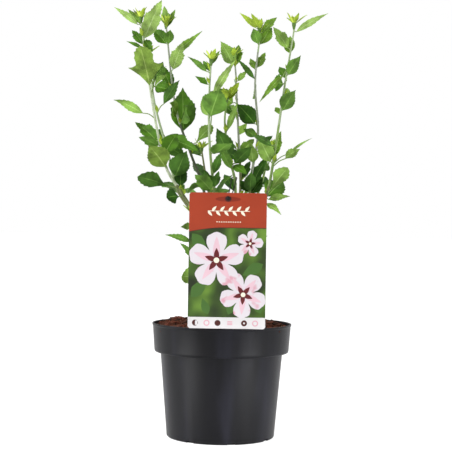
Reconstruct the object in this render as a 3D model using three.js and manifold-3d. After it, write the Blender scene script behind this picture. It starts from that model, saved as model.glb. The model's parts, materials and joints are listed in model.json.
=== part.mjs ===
// A young hibiscus shrub, built together with its black nursery pot and its picture card.
// Units are millimetres, +Z is up, and the origin is the centre of the pot's underside.
// The plant is seen from -Y, with +X to the right.
import * as THREE from 'three';
import { mergeVertices } from 'three/addons/utils/BufferGeometryUtils.js';
import Module from 'manifold-3d';

const wasm = await Module();
wasm.setup();

// Driving sizes

const GAP = 0.3; // clearance between neighbouring pieces
const UP = new THREE.Vector3(0, 0, 1);

const POT = {
  height: 154.3,
  rimRadius: 95,
  lipWidth: 1.9,
  bandFootHeight: 115.6,
  bandFootRadius: 91.4,
  bodyTopRadius: 83.2,
  baseRadius: 73.5,
  cornerRadius: 3,
  wall: 1.4,
  floor: 2,
  segments: 40,
};
const DRAIN = { count: 8, width: 13, height: 3.2, depth: 9, turn: 12 };

const SOIL = {
  level: 147.5,
  segments: 20,
  rings: [0, 22, 38, 55, 72, 86],
  bump: 2.6,
  flatRadius: 24,
  seed: 41,
};

const CARD = {
  width: 100,
  height: 175.2,
  thickness: 0.6,
  corner: 2.5,
  cornerSteps: 3,
  centreX: 6,
  y: -94,
  holeWidth: 4,
  holeHeight: 3,
  holeDrop: 7,
};
const TIE = {
  radius: 0.75,
  sides: 5,
  steps: 6, // pieces in each strand and each half turn
  nearHalf: 1.6,
  farHalf: 3.4,
  sag: 4,
  stemHeight: 352,
  knobWidth: 5.6,
  knobHeight: 4.4,
  knobDepth: 2.4,
  neckWidth: 2,
  neckHeight: 1.6,
  neckLength: 4.2,
};

const TRUNK = {
  foot: [5, 2],
  top: [3, 3],
  topHeight: 205,
  footRadius: 8.6,
  topRadius: 6.4,
  flare: 4.6,
  flareHeight: 7,
  headShare: 0.6, // of the top radius, at the level cut where the boughs fork
  sides: 10,
};

const STEM_SIDES = 5;
const STEPS_PER_SPAN = 2; // pieces of stem between two waypoints
const BOUGH = { footRadius: 3.4, forkRadius: 2.3, tipRadius: 1.9, sides: 6 };
const STEM = { footRadius: 2.0, tipRadius: 1.1 };
const TWIG = { footRadius: 1.15, kneeRadius: 0.95, tipRadius: 0.7, sides: 3 };
const WAYPOINT_ROOM = 1.5; // a waypoint nearer than this to a stretch's end is left out
const JOINT_GAP = 0.35; // height between a bough's tip and the stem that grows on from it

const LEAF = {
  stalkShare: 0.15, // of the leaf's length
  widestShare: 0.4, // of the blade's length
  arch: 0.03,
  fold: 0.22,
  thickness: 1.3,
  shoulderShare: 0.35, // of the way from the widest line to the tip
  shoulderWidth: 0.78,
  shoulderFrom: 44, // shorter leaves have none
  stalkFoot: 1.0,
  stalkTip: 0.65,
};

const CLEAR = { otherMass: 9, ownMass: 8, ownListed: 3, limb: 5, card: 4, lowest: 172 };
const LOW = { below: 316, halfWidth: 47 }; // unlisted leaves under this height keep behind the card

// The gaps of the crown through which the photo shows sky, as x, z and radius in the plane Y = 0.
// They are seen from the photo's camera, and only listed leaves may reach into them.
const VIEW = { x: 3.7, z: 287, distance: 1608 };
const SKY = [
  [-53, 567, 22], [-25, 549, 19], [-40, 530, 11], [-92, 521, 10], [-56, 505, 13], [-47, 479, 12],
  [-129, 475, 19], [-114, 458, 11], [-79, 427, 10], [-45, 415, 10], [-114, 397, 9], [-91, 361, 9],
  [-32, 375, 8], [-31, 433, 9], [-9, 429, 8], [-10, 499, 10], [23, 547, 12], [31, 528, 11],
  [28, 473, 11], [54, 578, 9], [80, 562, 10], [69, 523, 15], [55, 498, 13], [51, 482, 9],
  [64, 462, 11], [62, 438, 13], [60, 422, 10], [85, 409, 13], [97, 372, 13], [102, 484, 14],
  [101, 533, 11], [103, 432, 24], [130, 410, 25], [125, 480, 22], [-145, 425, 25], [-150, 505, 30],
  [-83, 451, 8], [-75, 537, 7], [28, 407, 9], [-26, 384, 8], [-84, 469, 8], [-41, 453, 8],
  [99, 557, 6], [-48, 347, 7], [-27, 367, 7], [0, 370, 6], [31, 372, 6], [16, 349, 6],
  [-98, 433, 6], [6, 439, 7], [79, 386, 6], [-77, 349, 5],
];

// The shoots. Each runs from its foot on a limb through its waypoints to its tip.
// joint is the height where the bough ends and the leafy mass begins.
// leaves lists those that stand out: height on the stem, the tip (x, y, z), width share and roll,
// and the stalk's share of the length where it isn't the usual one.

const SHOOTS = [
  {
    name: 'left_front',
    from: 'trunk',
    foot: 176,
    joint: 320,
    path: [
      [-20, -13, 250], [-36, -26, 298], [-56, -31, 330], [-79, -38, 368],
      [-96, -48, 446], [-109, -52, 529], [-113, -53, 560],
    ],
    leaves: [
      [548, -148, -60, 573, 0.22, -65],
      [550, -132, -36, 575, 0.26, 50],
      [531, -85, -66, 582, 0.41, 45, 0.06],
      [523, -126, -36, 547, 0.42, 40],
      [534, -96, -66, 514, 0.4, -35],
      [519, -132, -50, 530, 0.21, 70],
      [471, -111, -84, 519, 0.8, -15, 0.03],
      [428, -148, -50, 452, 0.22, -70, 0.3],
      [395, -121, -26, 425, 0.38, 55],
      [391, -113, -62, 402, 0.38, -60],
      [360, -100, -68, 392, 0.6, -40],
      [347, -50, -44, 386, 0.67, 45],
      [333, -114, -60, 350, 0.39, -60, 0.3],
      [334, -58, -20, 371, 0.48, -20],
      [326, -75, -60, 323, 0.59, 70, 0.3],
    ],
  },
  {
    name: 'left',
    from: 'left_front',
    foot: 250,
    joint: 320,
    path: [[-42, -11, 302], [-64, -9, 337], [-77, -5, 386], [-97, 0, 455], [-105, 2, 522]],
    leaves: [
      [480, -85, -16, 508, 0.69, 30],
      [477, -73, -8, 470, 0.69, -65],
      [439, -61, -46, 480, 0.22, 35, 0.3],
      [408, -35, -14, 388, 0.39, -70, 0.04],
      [396, -53, 14, 379, 0.51, 50],
    ],
  },
  {
    name: 'left_rear',
    from: 'trunk',
    foot: 180,
    joint: 320,
    path: [
      [-18, 15, 250], [-27, 17, 332], [-47, 28, 387], [-70, 40, 454],
      [-84, 48, 560], [-85, 48, 570],
    ],
    leaves: [
      [563, -88, 44, 595, 0.41, -30],
      [563, -73, 58, 593, 0.31, -35],
      [539, -104, 62, 565, 0.5, 50],
      [539, -78, 28, 559, 0.53, -5],
      [499, -60, 28, 542, 0.42, 35],
      [518, -34, 52, 562, 0.19, -65],
      [415, -61, 66, 483, 0.48, 0, 0.06],
      [475, -92, 52, 512, 0.46, 45],
      [392, -17, 8, 425, 0.37, 50, 0.3],
      [332, -26, 6, 361, 0.52, -15],
    ],
  },
  {
    name: 'front',
    from: 'trunk',
    foot: 195,
    joint: 320,
    path: [[-4, -22, 254], [-13, -38, 332], [-20, -54, 400], [-21, -60, 460], [-19, -64, 504]],
    leaves: [
      [486, -50, -70, 508, 0.22, -60],
      [488, -30, -46, 506, 0.37, 25],
      [471, -40, -58, 484, 0.42, 65],
      [451, 13, -82, 503, 0.17, 45],
      [426, -7, -92, 463, 0.66, 25],
      [428, -30, -58, 457, 0.57, -65],
      [497, -8, -52, 519, 0.26, -30],
      [352, -4, -78, 382, 0.26, 10],
      [330, -38, -80, 353, 0.37, -40],
      [335, -27, -54, 361, 0.39, -30],
      [335, -7, -66, 359, 0.31, 0],
    ],
  },
  {
    name: 'middle',
    from: 'front',
    foot: 236,
    joint: 320,
    path: [[14, -28, 305], [15, -21, 346], [8, -8, 377], [0, 4, 425], [2, 8, 462]],
    leaves: [
      [457, -3, -6, 476, 0.47, -10],
      [457, 19, 18, 486, 0.37, -50],
      [412, 17, -24, 454, 0.2, 15],
      [372, -11, -10, 420, 0.48, -75],
      [368, 37, -30, 394, 0.48, 45],
      [372, 31, -30, 356, 0.43, -45],
      [360, -7, -36, 392, 0.31, -30],
      [331, 0, 10, 358, 0.38, 15],
    ],
  },
  {
    name: 'rear',
    from: 'trunk',
    foot: 200,
    joint: 320,
    path: [
      [17, 22, 264], [23, 35, 340], [20, 50, 404], [17, 60, 456],
      [14, 66, 508], [10, 67, 528],
    ],
    leaves: [
      [512, -8, 60, 549, 0.51, -60],
      [511, 18, 84, 548, 0.45, 0],
      [491, 30, 48, 506, 0.34, 40],
      [414, 31, 54, 433, 0.61, -60],
      [443, -6, 84, 462, 0.45, 40],
      [386, 42, 74, 412, 0.39, -30],
      [380, -2, 72, 396, 0.47, 45],
      [348, 37, 64, 380, 0.31, -15],
    ],
  },
  {
    name: 'right_front',
    from: 'trunk',
    foot: 182,
    joint: 316,
    path: [
      [32, -8, 256], [58, -20, 330], [69, -33, 398], [79, -42, 475],
      [89, -46, 540], [90, -46, 556],
    ],
    leaves: [
      [544, 135, -50, 571, 0.19, 65, 0.08],
      [520, 62, -60, 550, 0.4, -50],
      [514, 86, -34, 543, 0.51, 15],
      [485, 99, -54, 514, 0.47, 45],
      [483, 72, -30, 502, 0.54, 20],
      [494, 45, -66, 450, 0.16, 45],
      [438, 93, -54, 468, 0.55, 35],
      [436, 68, -24, 448, 0.53, 15],
      [367, 100, -58, 390, 0.27, 50, 0.48],
      [371, 117, -38, 406, 0.06, 65, 0.4],
      [376, 76, -26, 416, 0.31, -55],
      [369, 45, -42, 405, 0.51, -45],
      [393, 34, -78, 406, 0.17, -55],
      [328, 85, -42, 366, 0.42, 45, 0.24],
      [323, 89, -34, 328, 0.29, 65],
      [321, 77, -44, 303, 0.26, -40],
    ],
  },
  {
    name: 'right',
    from: 'right_front',
    foot: 246,
    joint: 320,
    path: [[34, 0, 300], [37, 8, 353], [46, 16, 415], [41, 20, 484], [46, 22, 545], [46, 22, 560]],
    leaves: [
      [490, 15, 8, 517, 0.21, -60, 0.05],
      [504, 55, 32, 530, 0.43, -35],
      [502, 34, 36, 522, 0.46, 15],
      [536, 64, 40, 566, 0.51, -40],
      [537, 37, 6, 559, 0.56, -20],
      [558, 18, 22, 583, 0.23, -70],
      [560, 34, 8, 580, 0.32, -30],
      [552, 71, 42, 581, 0.31, -40],
      [424, 16, 26, 457, 0.59, 65],
      [409, 25, 4, 421, 0.5, -55],
      [392, 67, 34, 414, 0.35, -45],
      [370, 36, -4, 401, 0.51, 5],
      [337, 58, 16, 383, 0.34, -45],
      [330, 37, -8, 362, 0.55, -15],
      [328, 54, 16, 354, 0.52, -45],
      [332, 22, 8, 350, 0.69, 60],
    ],
  },
  {
    name: 'right_rear',
    from: 'rear',
    foot: 262,
    joint: 318,
    path: [[40, 40, 314], [54, 50, 352], [64, 58, 398]],
    leaves: [],
  },
  {
    name: 'rear_low',
    from: 'left_rear',
    foot: 258,
    joint: 318,
    path: [[-18, 44, 312], [-26, 60, 356], [-33, 70, 396]],
    leaves: [
      [383, -55, 96, 408, 0.34, 35],
      [355, -47, 106, 378, 0.28, 30],
    ],
  },
  {
    name: 'low_left',
    from: 'trunk',
    foot: 161,
    path: [[-22, -27, 214], [-36, -48, 264], [-39, -57, 300]],
    leaves: [
      [285, -56, -60, 285, 0.59, -70],
      [264, -77, -50, 274, 0.23, -70],
      [238, -57, -44, 263, 0.33, -60],
      [215, -55, -34, 218, 0.73, -70, 0.35],
    ],
  },
  {
    name: 'low_right',
    from: 'trunk',
    foot: 164,
    path: [[26, -22, 214], [38, -44, 254], [42, -52, 288]],
    leaves: [],
  },
  {
    name: 'low_rear',
    from: 'trunk',
    foot: 160,
    path: [[2, 28, 208], [-10, 56, 256], [-14, 66, 296]],
    leaves: [],
  },
  {
    name: 'low_right_rear',
    from: 'trunk',
    foot: 168,
    path: [[26, 20, 216], [40, 38, 258], [44, 46, 294]],
    leaves: [],
  },
];

// Rule for the leaves that fill the shoots in between. The leaves that stand out reach sideways,
// so these go to the front and the back, on edge as seen from the front above the dense part.
const FILL = {
  firstDrop: 8,
  lastDrop: 10,
  trunkClearance: 20,
  internode: 17,
  turns: [90, 270],
  wobble: 60,
  edgeRoll: 80,
  edgeSpread: 14,
  denseShare: 0.35,
  denseWobble: 190,
  denseSpread: 40,
  footLength: 46,
  tipLength: 34,
  rise: 30,
  riseSpread: 40,
  width: 0.6,
  tries: 3,
  retryTurn: 47,
};
const SIDE_TWIG = {
  every: 3,
  highestShare: 0.6,
  headroom: 16,
  turn: 150, // away from the leaf at its foot
  length: 30,
  lengthSpread: 18,
  rise: 48,
  bend: 22,
  leaves: 3,
  leafLength: 30,
  leafTurn: 70,
  leafRise: 30,
  leafRiseSpread: 20,
};
const ROSETTE = { leaflets: 3, length: 18, width: 0.3, rise: 62, turn: 90, turnSpread: 50 };

const COLOUR = {
  pot: 0x2b2d30,
  soil: 0x5b3a26,
  bark: 0x6b5a3c,
  leaf: 0x4f8a2c,
  card: 0xb4452d,
  tie: 0x1c1c1c,
};

// Meshes and solids

function meshData(vertices, faces) {
  const geometry = new THREE.BufferGeometry();
  const flat = vertices.flatMap((v) => [v.x, v.y, v.z]);
  geometry.setAttribute('position', new THREE.BufferAttribute(new Float32Array(flat), 3));
  geometry.setIndex(faces.flat());
  return geometry;
}

function toSolid(geometry) {
  const bare = geometry.clone();
  bare.deleteAttribute('normal');
  bare.deleteAttribute('uv');
  const merged = mergeVertices(bare, 1e-4);
  const mesh = new wasm.Mesh({
    numProp: 3,
    vertProperties: new Float32Array(merged.attributes.position.array),
    triVerts: new Uint32Array(merged.index.array),
  });
  return new wasm.Manifold(mesh);
}

function fromSolid(solid) {
  const mesh = solid.getMesh();
  const geometry = new THREE.BufferGeometry();
  geometry.setAttribute('position', new THREE.BufferAttribute(new Float32Array(mesh.vertProperties), 3));
  geometry.setIndex(Array.from(mesh.triVerts));
  return geometry;
}

function asNode(name, geometry, colour, roughness) {
  const finished = geometry.index ? geometry.toNonIndexed() : geometry;
  finished.computeVertexNormals();
  const material = new THREE.MeshStandardMaterial({ color: colour, roughness, metalness: 0 });
  const mesh = new THREE.Mesh(finished, material);
  mesh.name = name;
  return mesh;
}

// Seeded numbers between 0 and 1, the same on every run
function randomSource(seed) {
  let state = seed >>> 0;
  return () => {
    state = (Math.imul(state, 1664525) + 1013904223) >>> 0;
    return state / 4294967296;
  };
}

function vector(triple) {
  return new THREE.Vector3(triple[0], triple[1], triple[2]);
}

function between(a, b, share) {
  return new THREE.Vector3().lerpVectors(a, b, share);
}

function radians(degrees) {
  return (degrees * Math.PI) / 180;
}

// A closed tube with flat ends along a line of points, one radius to each point
function tube(points, radii, sides) {
  const vertices = [];
  const faces = [];
  let side = null;
  points.forEach((point, i) => {
    const before = points[Math.max(i - 1, 0)];
    const after = points[Math.min(i + 1, points.length - 1)];
    const along = new THREE.Vector3().subVectors(after, before).normalize();
    if (!side) side = new THREE.Vector3(1, 0, 0).cross(along).normalize();
    side.addScaledVector(along, -side.dot(along)).normalize();
    const across = new THREE.Vector3().crossVectors(along, side);
    for (let k = 0; k < sides; k += 1) {
      const angle = (2 * Math.PI * k) / sides;
      const spoke = side.clone().multiplyScalar(Math.cos(angle) * radii[i]);
      spoke.addScaledVector(across, Math.sin(angle) * radii[i]);
      vertices.push(point.clone().add(spoke));
    }
  });
  const last = (points.length - 1) * sides;
  for (let i = 0; i < points.length - 1; i += 1) {
    for (let k = 0; k < sides; k += 1) {
      const a = i * sides + k;
      const b = i * sides + ((k + 1) % sides);
      faces.push([a, b, b + sides], [a, b + sides, a + sides]);
    }
  }
  for (let k = 1; k < sides - 1; k += 1) {
    faces.push([0, k + 1, k], [last, last + k, last + k + 1]);
  }
  return meshData(vertices, faces);
}

// Pot

function potProfile() {
  const { height, rimRadius, lipWidth, bandFootHeight, bandFootRadius } = POT;
  const { bodyTopRadius, baseRadius, cornerRadius, wall, floor } = POT;
  const outer = [
    [0, 0],
    [baseRadius - cornerRadius, 0],
    [baseRadius - cornerRadius * 0.3, cornerRadius * 0.3],
    [baseRadius, cornerRadius],
    [bodyTopRadius, bandFootHeight],
    [bandFootRadius - 0.8, bandFootHeight],
    [bandFootRadius, bandFootHeight + 0.8],
    [rimRadius - 0.7, height - 2.6],
    [rimRadius, height - 1.9],
    [rimRadius, height],
  ];
  const inner = [
    [rimRadius - lipWidth, height],
    [bandFootRadius - wall, bandFootHeight + wall],
    [bodyTopRadius - wall, bandFootHeight + wall],
    [baseRadius - wall, cornerRadius + floor],
    [baseRadius - wall - cornerRadius, floor],
    [0, floor],
  ];
  return [...outer, ...inner].map(([r, z]) => new THREE.Vector2(r, z));
}

function lathe(profile, segments) {
  const geometry = new THREE.LatheGeometry(profile, segments);
  geometry.rotateX(Math.PI / 2);
  return geometry;
}

function makePot() {
  let pot = toSolid(lathe(potProfile(), POT.segments));
  for (let k = 0; k < DRAIN.count; k += 1) {
    const notch = new THREE.BoxGeometry(DRAIN.width, DRAIN.depth, DRAIN.height * 2);
    notch.translate(0, POT.baseRadius, 0);
    notch.rotateZ(radians(DRAIN.turn + (360 * k) / DRAIN.count));
    pot = pot.subtract(toSolid(notch));
  }
  return fromSolid(pot);
}

// Soil, filling the pot to a little under its rim

function makeSoil() {
  const random = randomSource(SOIL.seed);
  const clear = POT.wall + GAP + 0.1;
  const levelShare = (SOIL.level - POT.bandFootHeight) / (POT.height - POT.bandFootHeight);
  const wallAtLevel = POT.bandFootRadius + (POT.rimRadius - 0.5 - POT.bandFootRadius) * levelShare;
  const sides = [
    [wallAtLevel - clear, SOIL.level],
    [POT.bandFootRadius - clear, POT.bandFootHeight + clear],
    [POT.bodyTopRadius - clear, POT.bandFootHeight + clear],
    [POT.baseRadius - clear, POT.cornerRadius + POT.floor + clear],
    [POT.baseRadius - clear - POT.cornerRadius, POT.floor + GAP],
  ];
  const n = SOIL.segments;
  const vertices = [new THREE.Vector3(0, 0, SOIL.level)];
  const faces = [];
  const ring = (radius, heightAt) => {
    for (let k = 0; k < n; k += 1) {
      const angle = (2 * Math.PI * k) / n;
      vertices.push(new THREE.Vector3(radius * Math.sin(angle), radius * Math.cos(angle), heightAt(k)));
    }
  };
  for (const radius of SOIL.rings.slice(1)) {
    const bump = radius < SOIL.flatRadius ? 0 : SOIL.bump;
    ring(radius, () => SOIL.level + bump * (random() - 0.4));
  }
  for (const [radius, height] of sides) ring(radius, () => height);
  const ringCount = SOIL.rings.length - 1 + sides.length;
  vertices.push(new THREE.Vector3(0, 0, POT.floor + GAP));
  const start = (i) => 1 + i * n;
  for (let k = 0; k < n; k += 1) {
    const next = (k + 1) % n;
    faces.push([0, start(0) + next, start(0) + k]);
    for (let i = 0; i < ringCount - 1; i += 1) {
      const a = start(i) + k;
      const b = start(i) + next;
      faces.push([a, b, b + n], [a, b + n, a + n]);
    }
    faces.push([vertices.length - 1, start(ringCount - 1) + k, start(ringCount - 1) + next]);
  }
  return meshData(vertices, faces);
}

// Limbs

function smoothLine(waypoints) {
  const curve = new THREE.CatmullRomCurve3(waypoints, false, 'catmullrom', 0.5);
  return curve.getPoints(STEPS_PER_SPAN * (waypoints.length - 1));
}

function pointAtHeight(line, height) {
  for (let i = 1; i < line.length; i += 1) {
    if (line[i].z >= height) {
      const share = (height - line[i - 1].z) / (line[i].z - line[i - 1].z);
      return between(line[i - 1], line[i], share);
    }
  }
  return line[line.length - 1].clone();
}

// The stretch of a rising line between two heights
function stretch(line, low, high) {
  const inside = line.filter((p) => p.z > low + WAYPOINT_ROOM && p.z < high - WAYPOINT_ROOM);
  return [pointAtHeight(line, low), ...inside, pointAtHeight(line, high)];
}

function taper(points, footRadius, tipRadius) {
  const low = points[0].z;
  const high = points[points.length - 1].z;
  return points.map((p) => footRadius + ((tipRadius - footRadius) * (p.z - low)) / (high - low));
}

function trunkLine() {
  const soilTop = SOIL.level + GAP;
  const foot = new THREE.Vector3(TRUNK.foot[0], TRUNK.foot[1], soilTop);
  const top = new THREE.Vector3(TRUNK.top[0], TRUNK.top[1], TRUNK.topHeight);
  const rise = TRUNK.topHeight - soilTop;
  const { flareHeight } = TRUNK;
  const heights = [0, 2, flareHeight * 0.6, flareHeight, rise * 0.35, rise * 0.63, rise - 3];
  const points = heights.map((h) => {
    const lean = Math.max(h - flareHeight, 0) / (rise - flareHeight);
    const point = between(foot, top, lean);
    point.z = soilTop + h;
    return point;
  });
  const radii = heights.map((h) => {
    const plain = TRUNK.footRadius + ((TRUNK.topRadius - TRUNK.footRadius) * h) / rise;
    const flare = TRUNK.flare * Math.exp(-h / (flareHeight * 0.45));
    return plain + flare;
  });
  points.push(top);
  radii.push(TRUNK.topRadius * TRUNK.headShare);
  return { points, radii };
}

function fatten(limb) {
  const extra = GAP * 1.2;
  const points = limb.points.map((p) => p.clone());
  const lengthen = (end, next) => {
    end.addScaledVector(new THREE.Vector3().subVectors(end, next).normalize(), extra);
  };
  lengthen(points[0], points[1]);
  lengthen(points[points.length - 1], points[points.length - 2]);
  return { points, radii: limb.radii.map((r) => r + extra), sides: limb.sides };
}

function limbSolid(limb) {
  return toSolid(tube(limb.points, limb.radii, limb.sides));
}

// Leaves

// The frame of a leaf from its foot on a stem to its tip
function layLeaf(foot, tip, width, roll, stalkShare = LEAF.stalkShare) {
  const reach = new THREE.Vector3().subVectors(tip, foot);
  const length = reach.length();
  const along = reach.clone().divideScalar(length);
  const level = new THREE.Vector3().crossVectors(along, UP);
  if (level.length() < 0.05) level.set(1, 0, 0);
  level.normalize();
  const raised = new THREE.Vector3().crossVectors(level, along);
  const turn = radians(roll);
  const side = level.clone().multiplyScalar(Math.cos(turn)).addScaledVector(raised, Math.sin(turn));
  const face = new THREE.Vector3().crossVectors(side, along);
  const base = between(foot, tip, stalkShare);
  const middle = between(base, tip, LEAF.widestShare).addScaledVector(UP, LEAF.arch * length);
  const half = (width * length) / 2;
  const rightLobe = middle.clone().addScaledVector(side, half).addScaledVector(face, half * LEAF.fold);
  const leftLobe = middle.clone().addScaledVector(side, -half).addScaledVector(face, half * LEAF.fold);
  return { foot, base, middle, tip, side, face, half, length, leftLobe, rightLobe };
}

function bladeProbes(leaf) {
  const probes = [leaf.base, leaf.middle, leaf.tip];
  probes.push(between(leaf.base, leaf.middle, 0.5));
  probes.push(between(leaf.middle, leaf.tip, 0.33), between(leaf.middle, leaf.tip, 0.67));
  for (const lobe of [leaf.leftLobe, leaf.rightLobe]) {
    probes.push(lobe, between(leaf.middle, lobe, 0.5));
    probes.push(between(lobe, leaf.tip, 0.35), between(lobe, leaf.tip, 0.7));
    probes.push(between(lobe, leaf.base, 0.5));
  }
  return probes;
}

// A folded blade on a three-sided stalk, as one closed mesh
function leafMesh(leaf) {
  const { foot, base, middle, tip, side, face, half, length } = leaf;
  const section = (centre, radius) => [
    centre.clone().addScaledVector(side, -radius).addScaledVector(face, radius * 0.5),
    centre.clone().addScaledVector(side, radius).addScaledVector(face, radius * 0.5),
    centre.clone().addScaledVector(face, -radius),
  ];
  const shoulder = (sign) =>
    between(middle, tip, LEAF.shoulderShare)
      .addScaledVector(side, sign * half * LEAF.shoulderWidth)
      .addScaledVector(face, half * LEAF.fold * LEAF.shoulderWidth);
  const vertices = [...section(foot, LEAF.stalkFoot), ...section(base, LEAF.stalkTip)];
  const rim = [4];
  const addToRim = (point) => {
    rim.push(vertices.length);
    vertices.push(point);
  };
  addToRim(leaf.rightLobe);
  if (length > LEAF.shoulderFrom) addToRim(shoulder(1));
  addToRim(tip);
  if (length > LEAF.shoulderFrom) addToRim(shoulder(-1));
  addToRim(leaf.leftLobe);
  rim.push(3);
  const top = vertices.length;
  vertices.push(middle.clone().addScaledVector(face, LEAF.thickness / 2));
  vertices.push(middle.clone().addScaledVector(face, -LEAF.thickness / 2));
  const under = top + 1;
  const faces = [[1, 0, 2], [0, 1, 4], [0, 4, 3], [1, 2, 5], [1, 5, 4], [2, 0, 3], [2, 3, 5]];
  faces.push([top, 3, 4], [under, 4, 5], [under, 5, 3]);
  for (let i = 0; i < rim.length - 1; i += 1) {
    faces.push([top, rim[i], rim[i + 1]], [under, rim[i + 1], rim[i]]);
  }
  return meshData(vertices, faces);
}

// A slim leaflet of eight faces for the tuft at a shoot's tip
function leafletMesh(foot, tip, width) {
  const leaf = layLeaf(foot, tip, width, 0);
  const lift = LEAF.thickness * 0.55;
  const vertices = [
    foot,
    leaf.rightLobe,
    tip,
    leaf.leftLobe,
    leaf.middle.clone().addScaledVector(leaf.face, lift),
    leaf.middle.clone().addScaledVector(leaf.face, -lift),
  ];
  const faces = [];
  for (let i = 0; i < 4; i += 1) {
    const next = (i + 1) % 4;
    faces.push([4, i, next], [5, next, i]);
  }
  return meshData(vertices, faces);
}

// Which space is taken: limbs by their lines, leaves by a few probe points each

const limbs = [];
const takenLeaves = [];

function distanceToLine(point, points) {
  let nearest = Infinity;
  const closest = new THREE.Vector3();
  for (let i = 1; i < points.length; i += 1) {
    const span = new THREE.Line3(points[i - 1], points[i]);
    span.closestPointToPoint(point, true, closest);
    nearest = Math.min(nearest, closest.distanceTo(point));
  }
  return nearest;
}

function isAtCard(point) {
  const inWidth = Math.abs(point.x - CARD.centreX) < CARD.width / 2 + CLEAR.card;
  const inHeight = point.z < cardFoot() + CARD.height + CLEAR.card;
  return inWidth && inHeight && point.y < CARD.y + CLEAR.card + CARD.thickness;
}

function cardFoot() {
  return POT.height + GAP;
}

function holeLevel() {
  return cardFoot() + CARD.height - CARD.holeDrop;
}

function isTaken(point, mass, ownRoom) {
  return takenLeaves.some((other) => {
    if (other.mass === mass) return other.blade.some((p) => p.distanceTo(point) < ownRoom);
    return [...other.blade, ...other.stalk].some((p) => p.distanceTo(point) < CLEAR.otherMass);
  });
}

function touchesLimb(point, ownLimbs) {
  const others = limbs.filter((limb) => !ownLimbs.includes(limb));
  return others.some((limb) => distanceToLine(point, limb.points) < CLEAR.limb);
}

function isFree(points, mass, ownLimbs, ownRoom) {
  return points.every((point) => {
    if (point.z < CLEAR.lowest || isAtCard(point)) return false;
    return !touchesLimb(point, ownLimbs) && !isTaken(point, mass, ownRoom);
  });
}

function isLowAndWide(points) {
  return points.some((p) => p.z < LOW.below && Math.abs(p.x - CARD.centreX) > LOW.halfWidth);
}

function isInSky(points) {
  return points.some((point) => {
    const nearness = VIEW.distance / (VIEW.distance + point.y);
    const x = VIEW.x + (point.x - VIEW.x) * nearness;
    const z = VIEW.z + (point.z - VIEW.z) * nearness;
    return SKY.some(([atX, atZ, radius]) => Math.hypot(x - atX, z - atZ) < radius);
  });
}

// Adds a leaf unless it would leave its mass's own space or touch a limb
function tryLeaf(mass, leaf, ownLimbs, isListed = false) {
  const blade = bladeProbes(leaf);
  const stalk = [0.3, 0.65].map((share) => between(leaf.foot, leaf.base, share));
  if (!isListed && (isLowAndWide(blade) || isInSky(blade))) return false;
  if (!isFree(blade, mass, ownLimbs, isListed ? CLEAR.ownListed : CLEAR.ownMass)) return false;
  if (!isFree(stalk, mass, ownLimbs, 0)) return false;
  takenLeaves.push({ mass, blade, stalk });
  mass.leaves.push(leaf);
  return true;
}

function heading(azimuth, rise, length) {
  const flat = Math.cos(radians(rise)) * length;
  const x = Math.cos(radians(azimuth)) * flat;
  const y = Math.sin(radians(azimuth)) * flat;
  return new THREE.Vector3(x, y, Math.sin(radians(rise)) * length);
}

// Growing

function growLimbs() {
  const trunk = { name: 'trunk', ...trunkLine(), sides: TRUNK.sides };
  limbs.push(trunk);
  const lines = { trunk: [...trunk.points] };
  const boughs = [];
  const masses = [];
  SHOOTS.forEach((shoot, order) => {
    const foot = pointAtHeight(lines[shoot.from], shoot.foot);
    const line = smoothLine([foot, ...shoot.path.map(vector)]);
    lines[shoot.name] = line;
    const tipHeight = line[line.length - 1].z;
    const low = shoot.joint ?? shoot.foot;
    if (shoot.joint) {
      const points = stretch(line, shoot.foot, shoot.joint);
      const footRadius = shoot.from === 'trunk' ? BOUGH.footRadius : BOUGH.forkRadius;
      const radii = taper(points, footRadius, BOUGH.tipRadius);
      const bough = { name: `bough_${shoot.name}`, points, radii, sides: BOUGH.sides, from: shoot.from };
      limbs.push(bough);
      boughs.push(bough);
    }
    const start = shoot.joint ? low + JOINT_GAP : low;
    const points = stretch(line, start, tipHeight);
    const radii = taper(points, STEM.footRadius, STEM.tipRadius);
    const stem = { name: `stem_${shoot.name}`, points, radii, sides: STEM_SIDES };
    limbs.push(stem);
    const mass = { name: `leaves_${shoot.name}`, shoot, order, stem, twigs: [], leaves: [], leaflets: [] };
    masses.push(mass);
  });
  return { trunk, boughs, masses };
}

function growListedLeaves(mass) {
  for (const [height, x, y, z, width, roll, stalkShare] of mass.shoot.leaves) {
    const foot = pointAtHeight(mass.stem.points, height);
    tryLeaf(mass, layLeaf(foot, new THREE.Vector3(x, y, z), width, roll, stalkShare), [mass.stem], true);
  }
}

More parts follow.
